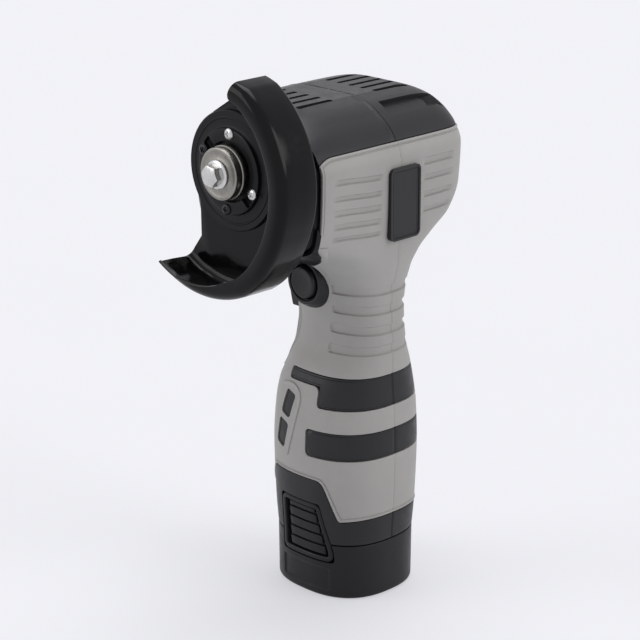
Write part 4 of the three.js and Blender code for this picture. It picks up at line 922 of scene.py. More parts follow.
def rounded(points, radius, spacing=1.0, arc_steps=6):
    """The outline with arcs for corners, and its straight runs divided."""
    made = []
    count = len(points)
    corners = []
    for k in range(count):
        before, here, after = (np.array(points[(k + d) % count], float) for d in (-1, 0, 1))
        r = radius[k] if isinstance(radius, (list, tuple)) else radius
        back, ahead = before - here, after - here
        back, ahead = back / np.linalg.norm(back), ahead / np.linalg.norm(ahead)
        half = math.acos(max(-1, min(1, back @ ahead))) / 2
        reach = r / math.tan(half)
        middle = here + (back + ahead) / np.linalg.norm(back + ahead) * r / math.sin(half)
        start, end = here + back * reach - middle, here + ahead * reach - middle
        sweep = math.atan2(start[0] * end[1] - start[1] * end[0], start @ end)
        arc = []
        for step in range(arc_steps + 1):
            turn = sweep * step / arc_steps
            c, s = math.cos(turn), math.sin(turn)
            arc.append(middle + np.array((start[0] * c - start[1] * s, start[0] * s + start[1] * c)))
        corners.append(arc)
    for k in range(count):
        made += corners[k]
        start, end = corners[k][-1], corners[(k + 1) % count][0]
        steps = max(1, int(np.linalg.norm(end - start) / spacing))
        made += [start + (end - start) * step / steps for step in range(1, steps)]
    return np.array(made)


def prism(name, points, low, high):
    """An outline of (x, z) points carried along Y."""
    deselect()
    bpy.ops.mesh.primitive_circle_add(vertices=len(points), radius=1, fill_type="NGON")
    piece = new_piece(name)
    for vertex, (x, z) in zip(piece.data.vertices, points):
        vertex.co = Vector((x, low, z)) * MM
    only(piece)
    bpy.ops.object.mode_set(mode="EDIT")
    bpy.ops.mesh.select_all(action="SELECT")
    bpy.ops.mesh.extrude_region_move(TRANSFORM_OT_translate={"value": (0, (high - low) * MM, 0)})
    bpy.ops.mesh.select_all(action="SELECT")
    bpy.ops.mesh.normals_make_consistent(inside=False)
    bpy.ops.object.mode_set(mode="OBJECT")
    return piece


def surface_spots(side, x, z, rise, surface=surface_y):
    """Points over the side view at a height above the surface, measured along its normal."""
    step = 0.05
    y = surface(side, x, z)
    slope_x = (surface(side, x + step, z) - surface(side, x - step, z)) / (2 * step)
    slope_z = (surface(side, x, z + step) - surface(side, x, z - step)) / (2 * step)
    normal = np.stack([-slope_x, np.ones_like(y), -slope_z], -1) * side
    normal /= np.linalg.norm(normal, axis=-1, keepdims=True)
    return np.stack([x, y, z], -1) + normal * np.asarray(rise)[..., None]


def moulding(name, side, path, profile, surface=surface_y):
    """A closed bead along an outline: the profile gives distance outwards and height."""
    before, after = np.roll(path, 1, axis=0), np.roll(path, -1, axis=0)
    along = after - before
    along /= np.linalg.norm(along, axis=1, keepdims=True)
    outwards = np.stack([along[:, 1], -along[:, 0]], -1)
    out, rise = (np.array(v)[:, None] for v in zip(*profile))
    x = path[None, :, 0] + out * outwards[None, :, 0]
    z = path[None, :, 1] + out * outwards[None, :, 1]
    spots = surface_spots(side, x, z, rise + 0 * x, surface)
    spots = np.concatenate([spots, spots[:, :1]], axis=1)
    spots = np.concatenate([spots, spots[:1]], axis=0)
    return wrapped_grid(name, spots, closed=True)


def plaque(name, side, path, rise, depth, inset=0.35, surface=surface_y, rings=5):
    """A plate that fills an outline, with a rounded edge and its back below the surface."""
    middle = path.mean(axis=0)
    before, after = np.roll(path, 1, axis=0), np.roll(path, -1, axis=0)
    along = after - before
    along /= np.linalg.norm(along, axis=1, keepdims=True)
    inwards = -np.stack([along[:, 1], -along[:, 0]], -1)
    levels = [(0.0, rise - depth)]
    levels += [
        (inset * (1 - math.cos(t)), rise - inset + inset * math.sin(t))
        for t in (0.0, 0.5, 1.05, math.pi / 2)
    ]
    spots = []
    for out, height in levels:
        flat = path + inwards * out
        spots.append(surface_spots(side, flat[:, 0], flat[:, 1], np.full(len(path), height), surface))
    edge = path + inwards * inset
    for ring in range(1, rings + 1):
        flat = middle + (edge - middle) * (1 - ring / rings * 0.97)
        spots.append(surface_spots(side, flat[:, 0], flat[:, 1], np.full(len(path), rise), surface))
    spots = np.array(spots)
    piece = wrapped_grid(name, np.concatenate([spots, spots[:, :1]], axis=1), closed=True)
    return fill_rims(piece)


# The black apron from the gear cover down to the button, and the beads beside it

APRON_LOW = (
    (-36.0, 163.4), (-31.0, 159.4), (-24.0, 155.6), (-17.0, 152.4), (-12.5, 150.3), (-3.5, 149.5), (5.5, 150.3),
    (9.8, 152.3), (15.5, 155.3), (21.2, 158.4), (24.5, 161.2), (26.8, 163.9), (28.0, 165.7), (28.6, 166.8),
    (28.9, 167.5), (29.2, 168.6), (29.6, 170.4), (30.0, 172.6),
)
# Depth at which the apron ends under the edge of the gear cover's opening
APRON_TOP_DEPTH = 47.2


def apron_low(x):
    return np.interp(x, *zip(*APRON_LOW))


def make_apron():
    """A patch on the near side between its lower line and the opening's edge."""
    x = np.concatenate([np.linspace(-36.0, 20.0, 57)[:-1], np.linspace(20.0, 30.0, 29)])
    levels = LEVELS[(LEVELS > 146) & (LEVELS < 182)]
    low = apron_low(x)
    depths = [np.abs(surface_y(NEAR, np.full(levels.shape, v), levels)) for v in x]
    high = np.array([np.interp(APRON_TOP_DEPTH, depth, levels) for depth in depths])
    high = np.maximum(high, low + 0.4)
    share = np.linspace(0, 1, 18)[:, None]
    z = low + (high - low) * share
    spots = surface_spots(NEAR, x + 0 * z, z, 0.5 + 0.15 * ease((x - 18.0) / 6.0) + 0 * z)
    piece = wrapped_grid("front_apron", spots)
    wall = piece.modifiers.new("wall", "SOLIDIFY")
    wall.thickness, wall.offset = 1.6 * MM, -1
    bake_modifiers(piece)
    return round_edges(piece, 0.3, 3, 50)


def smooth_line(corners, count):
    """A line that curves through its corners."""
    corners = np.array(corners, float)
    along = np.append(0, np.cumsum(np.hypot(*np.diff(corners, axis=0).T)))
    at = np.linspace(0, along[-1], count)
    path = np.stack([np.interp(at, along, corners[:, 0]), np.interp(at, along, corners[:, 1])], -1)
    for _ in range(12):
        path[1:-1] = (path[:-2] + 2 * path[1:-1] + path[2:]) / 4
    return path


def bead_along(name, side, path, profile, surface=surface_y):
    """An open bead along a line: the profile gives distance outwards and height."""
    along = np.gradient(path, axis=0)
    along /= np.linalg.norm(along, axis=1, keepdims=True)
    outwards = np.stack([along[:, 1], -along[:, 0]], -1)
    out, rise = (np.array(v)[:, None] for v in zip(*profile))
    x = path[None, :, 0] + out * outwards[None, :, 0]
    z = path[None, :, 1] + out * outwards[None, :, 1]
    spots = surface_spots(side, x, z, rise + 0 * x, surface)
    spots = np.concatenate([spots, spots[:1]], axis=0)
    return fill_rims(wrapped_grid(name, spots, closed=True))


def make_chin_beads():
    """The grey beads beside the apron and round the button's rings."""
    profile = [(-0.3, -0.9), (-0.1, 0.1), (0.15, 0.36), (0.6, 0.4), (0.95, 0.3), (1.2, -0.1), (1.3, -0.9)]
    x = np.concatenate([np.linspace(-36.0, -12.5, 30)[:-1], np.linspace(6.5, 28.6, 40)])
    right = x[x > 0]
    line = bead_along("chin_bead", NEAR, np.stack([right, apron_low(right)], -1), profile)
    left = x[x < 0]
    other = bead_along("chin_bead", NEAR, np.stack([left, apron_low(left)], -1), profile)
    turns = np.radians(np.linspace(-222.0, 42.0, 90))
    path = np.stack([BUTTON_X + 11.9 * np.cos(turns), BUTTON_Z + 11.9 * np.sin(turns)], -1)
    return join(line, other, bead_along("ring_bead", NEAR, path, profile))


# Nose, guard, retainer and spindle

def opening_reach(y, turns):
    """How far the body reaches from the spindle at depth y, over the directions round it."""
    near, far = np.full(turns.shape, 5.0), np.full(turns.shape, 70.0)
    for _ in range(26):
        middle = (near + far) / 2
        x, z = SPINDLE_X + middle * np.cos(turns), SPINDLE_Z + middle * np.sin(turns)
        held = (z < CROWN_TOP) & (np.abs(surface_y(NEAR, x, np.minimum(z, CROWN_TOP))) > y)
        centre, half, _, _ = section(NEAR, np.minimum(z, CROWN_TOP))
        held &= np.abs(x - centre) < half
        near, far = np.where(held, middle, near), np.where(held, far, middle)
    return near


def make_nose():
    """The black gear cover, drawn in from the opening's outline to the round collar."""
    turns = np.linspace(0, 2 * math.pi, 181)
    rings = []
    for y, inset, cone in (
        (43.5, 2.4, 60), (44.9, 2.0, 60), (46.0, 1.75, 51.5), (47.5, 1.7, 48.0), (49.0, 1.8, 44.3), (50.2, 1.9, 41.3),
        (50.9, 2.1, 39.2), (51.6, 2.5, 36.6), (52.2, 3.2, 34.2), (52.55, 4.0, 32.6), (52.7, 5.0, 31.0),
    ):
        body = opening_reach(min(y, 44.9) if y < 45 else y, turns) - inset
        soft = 1.6
        reach = -soft * np.log(np.exp(-body / soft) + np.exp(-cone / soft))
        rings.append((y, reach))
    for y, radius in ((52.7, 24.0), (52.7, 20.6), (52.85, 20.2), (53.1, 20.0), (54.0, 20.0), (54.3, 19.8),
                      (54.4, 19.5), (54.4, 9.0), (54.2, 8.6), (52.0, 8.6)):
        rings.append((y, np.full(turns.shape, float(radius))))
    spots = np.array([
        np.stack([SPINDLE_X + r * np.cos(turns), np.full(turns.shape, -y), SPINDLE_Z + r * np.sin(turns)], -1)
        for y, r in rings
    ])
    piece = wrapped_grid("gear_cover", spots, closed=True)
    return fill_rims(piece)


GUARD_START, GUARD_END = -123.5, 66.0


def guard_columns():
    spread = list(np.linspace(GUARD_START, GUARD_END - 8.0, 126))
    return np.array(spread + [GUARD_END - d for d in (6.6, 5.4, 4.2, 3.1, 2.1, 1.3, 0.7, 0.3, 0.0)])


def guard_growth(turn, y=-73.0):
    """How much further out the sheet runs towards its lower end, and most at its back."""
    front = np.interp(
        turn,
        (GUARD_START, -112.0, -64.0, -50.0, -40.0, -20.0, 58.0, GUARD_END),
        (2.6, 3.4, 3.2, 2.0, 1.0, 0.0, 0.0, -1.2),
    )
    rear = np.interp(turn, (GUARD_START, -108.0), (1.9, 0.0)) * np.clip((y + 70.0) / 15.0, 0, 1)
    return front + rear


def make_guard(sizes):
    """The guard: a channel of thin sheet whose lip fades out below, with its flat back."""
    radius, sheet, lip = (v * 1000 for v in (sizes.guard_radius, sizes.guard_sheet, sizes.guard_lip_radius))
    front, back, corner, rear = -73.0, -53.0, 4.0, 1.6
    rings = []
    for turn in guard_columns():
        fade = np.clip((turn + 74.0) / (-124.0 + 74.0), 0, 1)
        inner = lip + (radius - sheet - 0.4 - lip) * fade ** 0.8
        near_end = (GUARD_END - turn) * math.radians(1) * lip
        if near_end < 2.4:
            inner += 2.4 - math.sqrt(2.4 ** 2 - (2.4 - near_end) ** 2)
        profile = [(inner, front + 0.75), (inner + 0.2, front + 0.22), (inner + 0.72, front)]
        start = max(radius - corner, inner + 0.9)
        for step in range(9):
            a = math.pi / 2 * step / 8
            r, y = radius - corner + corner * math.sin(a), front + corner - corner * math.cos(a)
            profile.append((max(r, inner + 0.75 + 0.02 * step), y))
        profile += [(radius, front + 8), (radius, front + 13)]
        for step in range(6):
            a = math.pi / 2 * step / 5
            profile.append((radius - rear + rear * math.cos(a), back - rear + rear * math.sin(a)))
        profile += [(lip + 0.6, back), (lip + 0.6, back - sheet)]
        bend = 3.6
        for step in range(5):
            a = math.pi / 2 * step / 4
            profile.append((radius - sheet - bend + bend * math.sin(a), back - sheet - bend + bend * math.cos(a)))
        profile += [(radius - sheet, front + 13), (radius - sheet, front + 8)]
        tight = corner - sheet
        for step in range(7):
            a = math.pi / 2 * step / 6
            r, y = radius - sheet - tight + tight * math.cos(a), front + sheet + tight - tight * math.sin(a)
            profile.append((max(r, inner + 0.7), y if r > inner + 0.7 else front + sheet))
        profile += [(inner + 0.72, front + sheet), (inner + 0.2, front + sheet - 0.22)]
        profile.append(profile[0])
        c, s = math.cos(math.radians(turn)), math.sin(math.radians(turn))
        spread = [(r + guard_growth(turn, y), y) for r, y in profile]
        rings.append([(SPINDLE_X + r * c, y, SPINDLE_Z + r * s) for r, y in spread])
    channel = fill_rims(wrapped_grid("guard_channel", np.array(rings), closed=True))
    place = lambda across, up: (SPINDLE_X + across * 47.7, SPINDLE_Z + up * 47.7)
    polar = lambda r, turn: (
        SPINDLE_X + r * math.cos(math.radians(turn)), SPINDLE_Z + r * math.sin(math.radians(turn)),
    )
    turns = np.linspace(GUARD_START, GUARD_END, 90)
    points = [polar(lip + 1.6 + guard_growth(turn, -53.0), turn) for turn in turns]
    points += [place(-0.055, 0.602), place(-0.254, 0.474)]
    start, end = math.degrees(math.atan2(0.474, -0.254)) - 360, math.degrees(math.atan2(-0.319, -0.455))
    points += [polar(25.5, turn) for turn in np.linspace(start, end, 60)]
    points += [place(-0.436, -0.449), place(-0.432, -0.669)]
    plate = prism("guard_back", points, back - sheet, back)
    cut(plate, rod("bore", 20.3, -60, -50, SPINDLE_X, SPINDLE_Z, 96))
    cut(channel, plate, "UNION")
    return round_edges(channel, 0.22, 2, 62)


def make_retainer(sizes):
    radius = sizes.retainer_radius * 1000
    piece = turned("guard_retainer_ring", [
        (12.6, -54.75), (radius, -54.75), (radius, -55.6), (radius - 0.3, -55.9), (22.6, -55.9), (22.35, -56.15),
        (21.9, -56.15), (21.65, -55.9), (18.9, -55.9), (18.35, -56.1), (18.0, -56.6), (18.0, -57.45),
        (17.85, -57.75), (17.5, -57.9), (13.3, -57.9), (12.85, -57.75), (12.6, -57.4), (12.6, -54.75),
    ], steps=128)
    for share in (0.385, 0.885):
        notch = box(
            "notch", (SPINDLE_X + 9, -59.0, SPINDLE_Z - 2.25), (SPINDLE_X + 17.6, -55.9, SPINDLE_Z + 2.25),
        )
        round_edges(notch, 0.7, 3, 60)
        turn_about_spindle(notch, share)
        cut(piece, notch)
    return round_edges(piece, 0.12, 2, 50)


def turn_about_spindle(piece, share):
    """Turns a piece round the spindle by a share of a turn, towards +Z from +X."""
    turn = 2 * math.pi * share
    c, s = math.cos(turn), math.sin(turn)
    for vertex in piece.data.vertices:
        x, z = vertex.co.x - SPINDLE_X * MM, vertex.co.z - SPINDLE_Z * MM
        vertex.co.x, vertex.co.z = SPINDLE_X * MM + x * c - z * s, SPINDLE_Z * MM + x * s + z * c
    piece.data.update()
    return piece


def make_retainer_screw(name, share):
    """A small dished screw with a cross recess."""
    x, z = SPINDLE_X + 16.0, SPINDLE_Z
    piece = turned(name, [
        (0, -58.95), (0.9, -58.93), (1.7, -58.78), (2.2, -58.5), (2.4, -58.2), (2.4, -57.95), (1.4, -57.95),
        (1.4, -49.2), (0, -49.2),
    ], x, z, steps=40)
    for across, up in ((1.35, 0.3), (0.3, 1.35)):
        cut(piece, box("recess", (x - across, -60, z - up), (x + across, -58.3, z + up)))
    return turn_about_spindle(piece, share)


def make_inner_flange():
    return turned("inner_washer", [
        (5.3, -60.0), (8.0, -60.0), (8.2, -59.7), (9.6, -59.7), (9.8, -60.0), (11.0, -60.0), (11.4, -59.6),
        (11.4, -58.5), (11.0, -58.1), (8.0, -58.1), (8.0, -53.4), (5.3, -53.4), (5.3, -60.0),
    ], steps=112)


def make_outer_flange():
    return turned("outer_washer", [
        (3.2, -63.2), (6.6, -63.2), (6.9, -63.05), (9.3, -63.05), (9.6, -63.2), (10.5, -63.2), (10.85, -63.05),
        (11.0, -62.75), (11.0, -60.75), (10.85, -60.45), (10.6, -60.3), (3.2, -60.3), (3.2, -63.2),
    ], steps=128)


BOLT_HALF_FLATS = 4.15


def make_bolt():
    """A hex head with a turned chamfer over its washer face."""
    radius = BOLT_HALF_FLATS / math.cos(math.pi / 6)
    turns = [math.radians(60 * k - 10) for k in range(6)]
    points = [(SPINDLE_X + radius * math.cos(turn), SPINDLE_Z + radius * math.sin(turn)) for turn in turns]
    head = prism("flange_bolt_head", points, -68.5, -64.0)
    head = round_edges(head, 0.16, 2, 50)
    cone = turned("chamfer", [
        (0, -68.5), (4.0, -68.5), (4.3, -68.35), (5.6, -67.5), (5.6, -60), (0, -60),
    ], steps=96)
    cut(head, cone, "INTERSECT")
    flange = turned("washer_face", [
        (0, -64.9), (4.9, -64.8), (5.6, -64.6), (6.05, -64.2), (6.1, -63.75), (5.9, -63.4), (2.9, -63.4),
        (2.9, -46.0), (0, -46.0),
    ], steps=96)
    return join(head, flange)


# Button, trigger and rating plate

def make_bezel(sizes):
    """Stepped rings that widen towards the sleeve."""
    radius = sizes.bezel_radius * 1000
    return turned("button_bezel", [
        (7.3, -12.0), (radius + 2.4, -12.0), (radius + 2.4, -16.6), (radius + 2.2, -17.7), (radius + 1.95, -18.9),
        (radius + 1.75, -19.5), (radius + 1.4, -19.7), (radius + 1.15, -20.6), (radius + 0.8, -20.85),
        (radius + 0.5, -21.7), (radius + 0.15, -21.95), (radius, -22.3), (radius - 0.25, -22.6),
        (radius - 1.2, -22.7), (radius - 1.45, -22.55), (radius - 1.6, -22.2), (radius - 1.7, -21.8),
        (radius - 2.05, -21.6), (radius - 2.25, -21.4), (7.45, -21.0), (7.3, -20.8), (7.3, -12.0),
    ], BUTTON_X, BUTTON_Z, steps=112)


def make_button(sizes):
    radius = sizes.button_radius * 1000
    return turned("lock_button_cap", [
        (0, -23.3), (2.0, -23.32), (4.0, -23.45), (5.3, -23.68), (5.9, -23.8), (6.35, -23.72), (6.7, -23.4),
        (6.9, -22.9), (radius, -22.2), (radius, -17.6), (3.0, -17.6), (3.0, -12.9), (0, -12.9),
    ], BUTTON_X, BUTTON_Z, steps=96)


def make_trigger():
    """A bowed paddle with rounded edges."""
    piece = box("trigger_paddle", (-28.4, -7.6, 121.8), (-14.6, 7.6, 147.0))
    only(piece)
    bpy.ops.object.mode_set(mode="EDIT")
    bpy.ops.mesh.select_all(action="SELECT")
    bpy.ops.mesh.subdivide(number_cuts=17)
    bpy.ops.object.mode_set(mode="OBJECT")
    for vertex in piece.data.vertices:
        x, y, z = (v * 1000 for v in vertex.co)
        forward = (-14.6 - x) / 13.8
        along = (z - 121.8) / 25.2
        hollow = 2.2 * (1 - math.sin(math.pi * min(max(along, 0), 1)))
        crown = 0.9 * (y / 7.6) ** 2
        vertex.co.x += (hollow + crown) * forward * MM
    return round_edges(piece, 0.8, 3, 50)


PLATE_Y, PLATE_Z = 1.5, 177.7


def make_rating_plate(sizes):
    """A black plate with a raised frame and a fine inner line; its field is left bare."""
    width, height = sizes.plate_width * 500, sizes.plate_height * 500
    piece = box(
        "rating_plate_cover",
        (31.0, PLATE_Y - width, PLATE_Z - height), (33.2, PLATE_Y + width, PLATE_Z + height),
    )
    only(piece)
    bpy.ops.object.mode_set(mode="EDIT")
    bpy.ops.mesh.select_mode(type="EDGE")
    bpy.ops.mesh.select_all(action="DESELECT")
    bpy.ops.object.mode_set(mode="OBJECT")
    for edge in piece.data.edges:
        a, b = (piece.data.vertices[v].co for v in edge.vertices)
        edge.select = abs(a.x - b.x) > 1 * MM
    bpy.ops.object.mode_set(mode="EDIT")
    bpy.ops.mesh.bevel(offset=2.6 * MM, segments=8, affect="EDGES")
    bpy.ops.mesh.select_mode(type="FACE")
    bpy.ops.mesh.select_all(action="DESELECT")
    bpy.ops.object.mode_set(mode="OBJECT")
    for face in piece.data.polygons:
        face.select = face.normal.x > 0.9
    bpy.ops.object.mode_set(mode="EDIT")
    for inset, sink in (
        (0.12, -0.04), (0.16, 0.0), (0.62, 0.0), (0.1, 0.03), (0.1, 0.37), (0.55, 0.0), (0.1, -0.12), (0.22, 0.0),
        (0.1, 0.12), (0.3, 0.0),
    ):
        bpy.ops.mesh.inset(thickness=inset * MM, depth=-sink * MM, use_even_offset=True)
    bpy.ops.object.mode_set(mode="OBJECT")
    return piece


# Battery pack

PACK_HEIGHTS = (0.0, 0.12, 0.5, 1.0, 1.6, 25.1)
PACK_X = (26.7, 27.3, 27.95, 28.2, 28.3, 28.2)
PACK_Y = (24.9, 25.5, 26.05, 26.3, 26.4, 26.9)


def pack_outline(side, angle, z, lift=0.0):
    half, depth = np.interp(z, PACK_HEIGHTS, PACK_X), np.interp(z, PACK_HEIGHTS, PACK_Y)
    c, s = np.cos(angle), np.abs(np.sin(angle))
    reach = (np.abs(c) ** 2.5 + s ** 2.5) ** (-1 / 2.5)
    return (half + lift) * reach * c, side * (depth + lift) * reach * s


def pack_y(side, x, z):
    half, depth = np.interp(z, PACK_HEIGHTS, PACK_X), np.interp(z, PACK_HEIGHTS, PACK_Y)
    return side * depth * (1 - np.minimum(np.abs(x) / half, 0.9999) ** 2.5) ** (1 / 2.5)


def latch_surface_y(side, x, z):
    """The pack below the joint and the body above it, eased into each other."""
    share = ease((z - 23.5) / 4.0)
    return pack_y(side, x, np.minimum(z, 25.1)) * (1 - share) + surface_y(side, x, np.maximum(z, 25.4)) * share


PANEL_STEP = (0.0, 0.18, 0.34, 0.5)
PANEL_SINK = (0.0, -0.1, -0.42, -0.5)


def make_pack_case():
    """The pack's outer wall, with a bare sunk panel below each latch."""
    low, high, left, right = 3.6, 13.9, -12.8, 14.6
    levels = [0.0, 0.12, 0.3, 0.5, 0.75, 1.0, 1.3, 1.6, 2.4]
    levels += [low + d for d in PANEL_STEP] + list(np.linspace(low + 1.2, high - 1.2, 8))
    levels += [high - d for d in reversed(PANEL_STEP)] + list(np.linspace(15.0, 24.2, 9)) + [24.7, 24.95, 25.1]
    levels = np.array(levels)
    across = np.concatenate([
        [right - d for d in PANEL_STEP],
        np.linspace(right - 1.5, left + 1.5, 26),
        [left + d for d in reversed(PANEL_STEP)],
    ])
    keys = np.arctan2((1 - np.abs(across / 28.25) ** 2.5) ** (1 / 2.5), across / 28.25)
    half_turn = np.concatenate([
        np.linspace(0, keys[0], 26)[:-1], keys, np.linspace(keys[-1], math.pi, 26)[1:],
    ])
    parts = []
    for side in (FAR, NEAR):
        x, y = pack_outline(side, half_turn[None, :], levels[:, None])
        inside = inside_box(x, levels[:, None] + 0 * x, (left, low), (right, high), 0.6)
        sink = np.interp(inside, PANEL_STEP, PANEL_SINK)
        top = np.interp(levels, (24.7, 24.95, 25.1), (0, -0.12, -0.4))[:, None]
        x, y = pack_outline(side, half_turn[None, :], levels[:, None], sink + top)
        spots = np.stack([x, y, levels[:, None] + 0 * x], -1)
        parts.append(spots if side == FAR else spots[:, ::-1])
    spots = np.concatenate([parts[0], parts[1][:, 1:]], axis=1)
    wall = np.concatenate([spots, spots[-1:] * (0.93, 0.93, 1.0), spots[-1:] * (0.93, 0.93, 0.85)], axis=0)
    under = spots[:1] * (0.96, 0.96, 1.0)
    inner = spots[:1] * (0.955, 0.955, 1.0) + (0, 0, 0.5)
    wall = np.concatenate([inner, under, wall], axis=0)
    piece = wrapped_grid("pack_shell", wall, closed=True)
    fill_rims(piece)
    hole = rounded(grown(LATCH_OUTLINE, 2.6), 1.6, 3.0)
    for side in (NEAR, FAR):
        low_y, high_y = sorted((side * 21.0, side * 30.0))
        cut(piece, prism("latch_hole", hole, low_y, high_y))
    return piece


RIB_START, RIB_PITCH, RIB_COUNT = 21.9, 4.7, 5


def latch_right_edge(z):
    return np.interp(z, (21.6, 41.1), (13.9, 8.7))


def make_latch_frame(side):
    """The tongue's frame round a latch, with its deep pocket floor."""
    outline_path = rounded(LATCH_OUTLINE, (0.7, 0.6, 0.6, 1.6, 0.9), 1.2)
    frame_piece = moulding("latch_frame", side, outline_path, [
        (0.0, -4.2), (0.0, -0.7), (0.12, -0.3), (0.42, -0.05), (0.7, 0.0), (1.6, 0.0), (1.95, -0.08), (2.15, -0.35),
        (2.2, -0.8), (2.2, -3.2), (1.2, -4.2),
    ], latch_surface_y)
    floor = plaque(
        "latch_floor", side, rounded(grown(LATCH_OUTLINE, 0.8), 0.7, 1.6), -4.1, 0.5, 0.1, latch_surface_y,
    )
    return join(frame_piece, floor)


def make_latch(side, sizes):
    """The press plate, set back in its frame, with five rounded ribs whose ends step along the slant."""
    width = sizes.latch_rib_width * 1000
    inner = grown(LATCH_OUTLINE, -0.9)
    plate = plaque("latch_plate", side, rounded(inner, 0.5, 1.6), -1.75, 0.6, 0.2, latch_surface_y)
    for number in range(RIB_COUNT):
        middle = RIB_START + RIB_PITCH * number
        low, high = middle - width / 2, min(middle + width / 2, 40.7)
        right = float(latch_right_edge((low + high) / 2)) - 1.1
        points = [(-7.2, low), (right + 0.3, low), (right - 0.3, high), (-8.0, high)]
        rib = plaque(
            "rib", side, rounded(points, 0.55, 1.6, 3), -0.45, 1.6, 0.5, latch_surface_y,
        )
        join(plate, rib)
    plate.name = plate.data.name = "latch_press_near" if side == NEAR else "latch_press_far"
    return plate


# Finishes

class Finish:
    """A material built node by node on the object's own coordinates."""

    def __init__(self, name):
        self.material = bpy.data.materials.new(name)
        self.material.use_nodes = True
        self.tree = self.material.node_tree
        self.shader = self.tree.nodes["Principled BSDF"]
        self.place = self.add("TexCoord").outputs["Object"]

    def add(self, kind, **settings):
        made = self.tree.nodes.new(("ShaderNode" if not kind.startswith("ShaderNode") else "") + kind)
        for key, value in settings.items():
            if hasattr(made, key):
                setattr(made, key, value)
            else:
                made.inputs[key.replace("_", " ").title()].default_value = value
        return made

    def link(self, source, target):
        self.tree.links.new(source, target)
        return target

    def noise(self, scale, detail=2.0, roughness=0.5, stretch=None):
        made = self.add("TexNoise", scale=scale, detail=detail, roughness=roughness)
        place = self.place
        if stretch:
            mapping = self.add("Mapping")
            mapping.inputs["Scale"].default_value = stretch
            self.link(self.place, mapping.inputs["Vector"])
            place = mapping.outputs["Vector"]
        self.link(place, made.inputs["Vector"])
        return made.outputs["Fac"]

    def spread(self, value, low, high, start=0.3, end=0.7):
        made = self.add("MapRange")
        for key, number in zip(("From Min", "From Max", "To Min", "To Max"), (start, end, low, high)):
            made.inputs[key].default_value = number
        self.link(value, made.inputs["Value"])
        return made.outputs["Result"]

    def tint(self, value, first, second, start=0.3, end=0.7):
        ramp = self.add("ValToRGB")
        ramp.color_ramp.elements[0].position, ramp.color_ramp.elements[1].position = start, end
        ramp.color_ramp.elements[0].color = (*first, 1)
        ramp.color_ramp.elements[1].color = (*second, 1)
        self.link(value, ramp.inputs["Fac"])
        return ramp.outputs["Color"]

    def bump(self, value, strength, distance, below=None):
        made = self.add("Bump")
        made.inputs["Strength"].default_value = strength
        made.inputs["Distance"].default_value = distance
        self.link(value, made.inputs["Height"])
        if below is not None:
            self.link(below, made.inputs["Normal"])
        return made.outputs["Normal"]

    def set(self, **values):
        for key, value in values.items():
            socket = self.shader.inputs[key.replace("_", " ").title().replace("Ior", "IOR")]
            if hasattr(value, "is_output"):
                self.link(value, socket)
            else:
                socket.default_value = value
        return self


def shade(colour, factor):
    return tuple(min(1.0, c * factor) for c in tuple(colour)[:3])


def moulded_plastic(name, colour, roughness, grain_scale, grain, variation=0.08, specular=0.5, coat=0.0):
    """Moulded plastic: fine spark-eroded grain, faint flow marks and slight rubbing."""
    made = Finish(name)
    flow = made.noise(38.0, 3.0, 0.6)
    fine = made.noise(grain_scale, 2.0, 0.6)
    worn = made.noise(240.0, 4.0, 0.7)
    made.set(
        base_color=made.tint(flow, shade(colour, 1 - variation), shade(colour, 1 + variation)),
        roughness=made.spread(worn, roughness - 0.06, roughness + 0.07),
        specular_ior_level=specular,
        normal=made.bump(fine, grain, 0.00012, made.bump(flow, 0.08, 0.0003)),
    )
    if coat:
        made.set(coat_weight=coat, coat_roughness=0.12)
    return made.material


def worked_metal(name, colour, roughness, axis="turned", depth=0.15):
    """Steel with the marks of its making: turning rings, or drawn streaks."""
    made = Finish(name)
    mapping = made.add("Mapping", vector_type="POINT")
    mapping.inputs["Location"].default_value = (-SPINDLE_X * MM, 0, -SPINDLE_Z * MM)
    made.link(made.place, mapping.inputs["Vector"])
    split = made.add("SeparateXYZ")
    made.link(mapping.outputs["Vector"], split.inputs["Vector"])
    if axis == "turned":
        squares = []
        for key in ("X", "Z"):
            power = made.add("Math", operation="MULTIPLY")
            made.link(split.outputs[key], power.inputs[0])
            made.link(split.outputs[key], power.inputs[1])
            squares.append(power.outputs[0])
        total = made.add("Math", operation="ADD")
        made.link(squares[0], total.inputs[0])
        made.link(squares[1], total.inputs[1])
        reach = made.add("Math", operation="SQRT")
        made.link(total.outputs[0], reach.inputs[0])
        rings = made.add("TexNoise", noise_dimensions="1D", detail=3.0)
        rings.inputs["Scale"].default_value = 5200.0
        made.link(reach.outputs[0], rings.inputs["W"])
        marks = rings.outputs["Fac"]
    else:
        marks = made.noise(900.0, 3.0, 0.6, (1.0, 0.06, 1.0))
    patches = made.noise(160.0, 4.0, 0.65)
    scuffs = made.noise(700.0, 3.0, 0.7, (1.0, 1.0, 0.25))
    made.set(
        base_color=made.tint(patches, shade(colour, 0.82), shade(colour, 1.08), 0.35, 0.68),
        metallic=1.0,
        roughness=made.spread(scuffs, roughness - 0.07, roughness + 0.12),
        normal=made.bump(marks, depth, 0.00006),
    )
    return made.material


FINISHES = {}


def finish_of(name):
    return FINISHES[name]


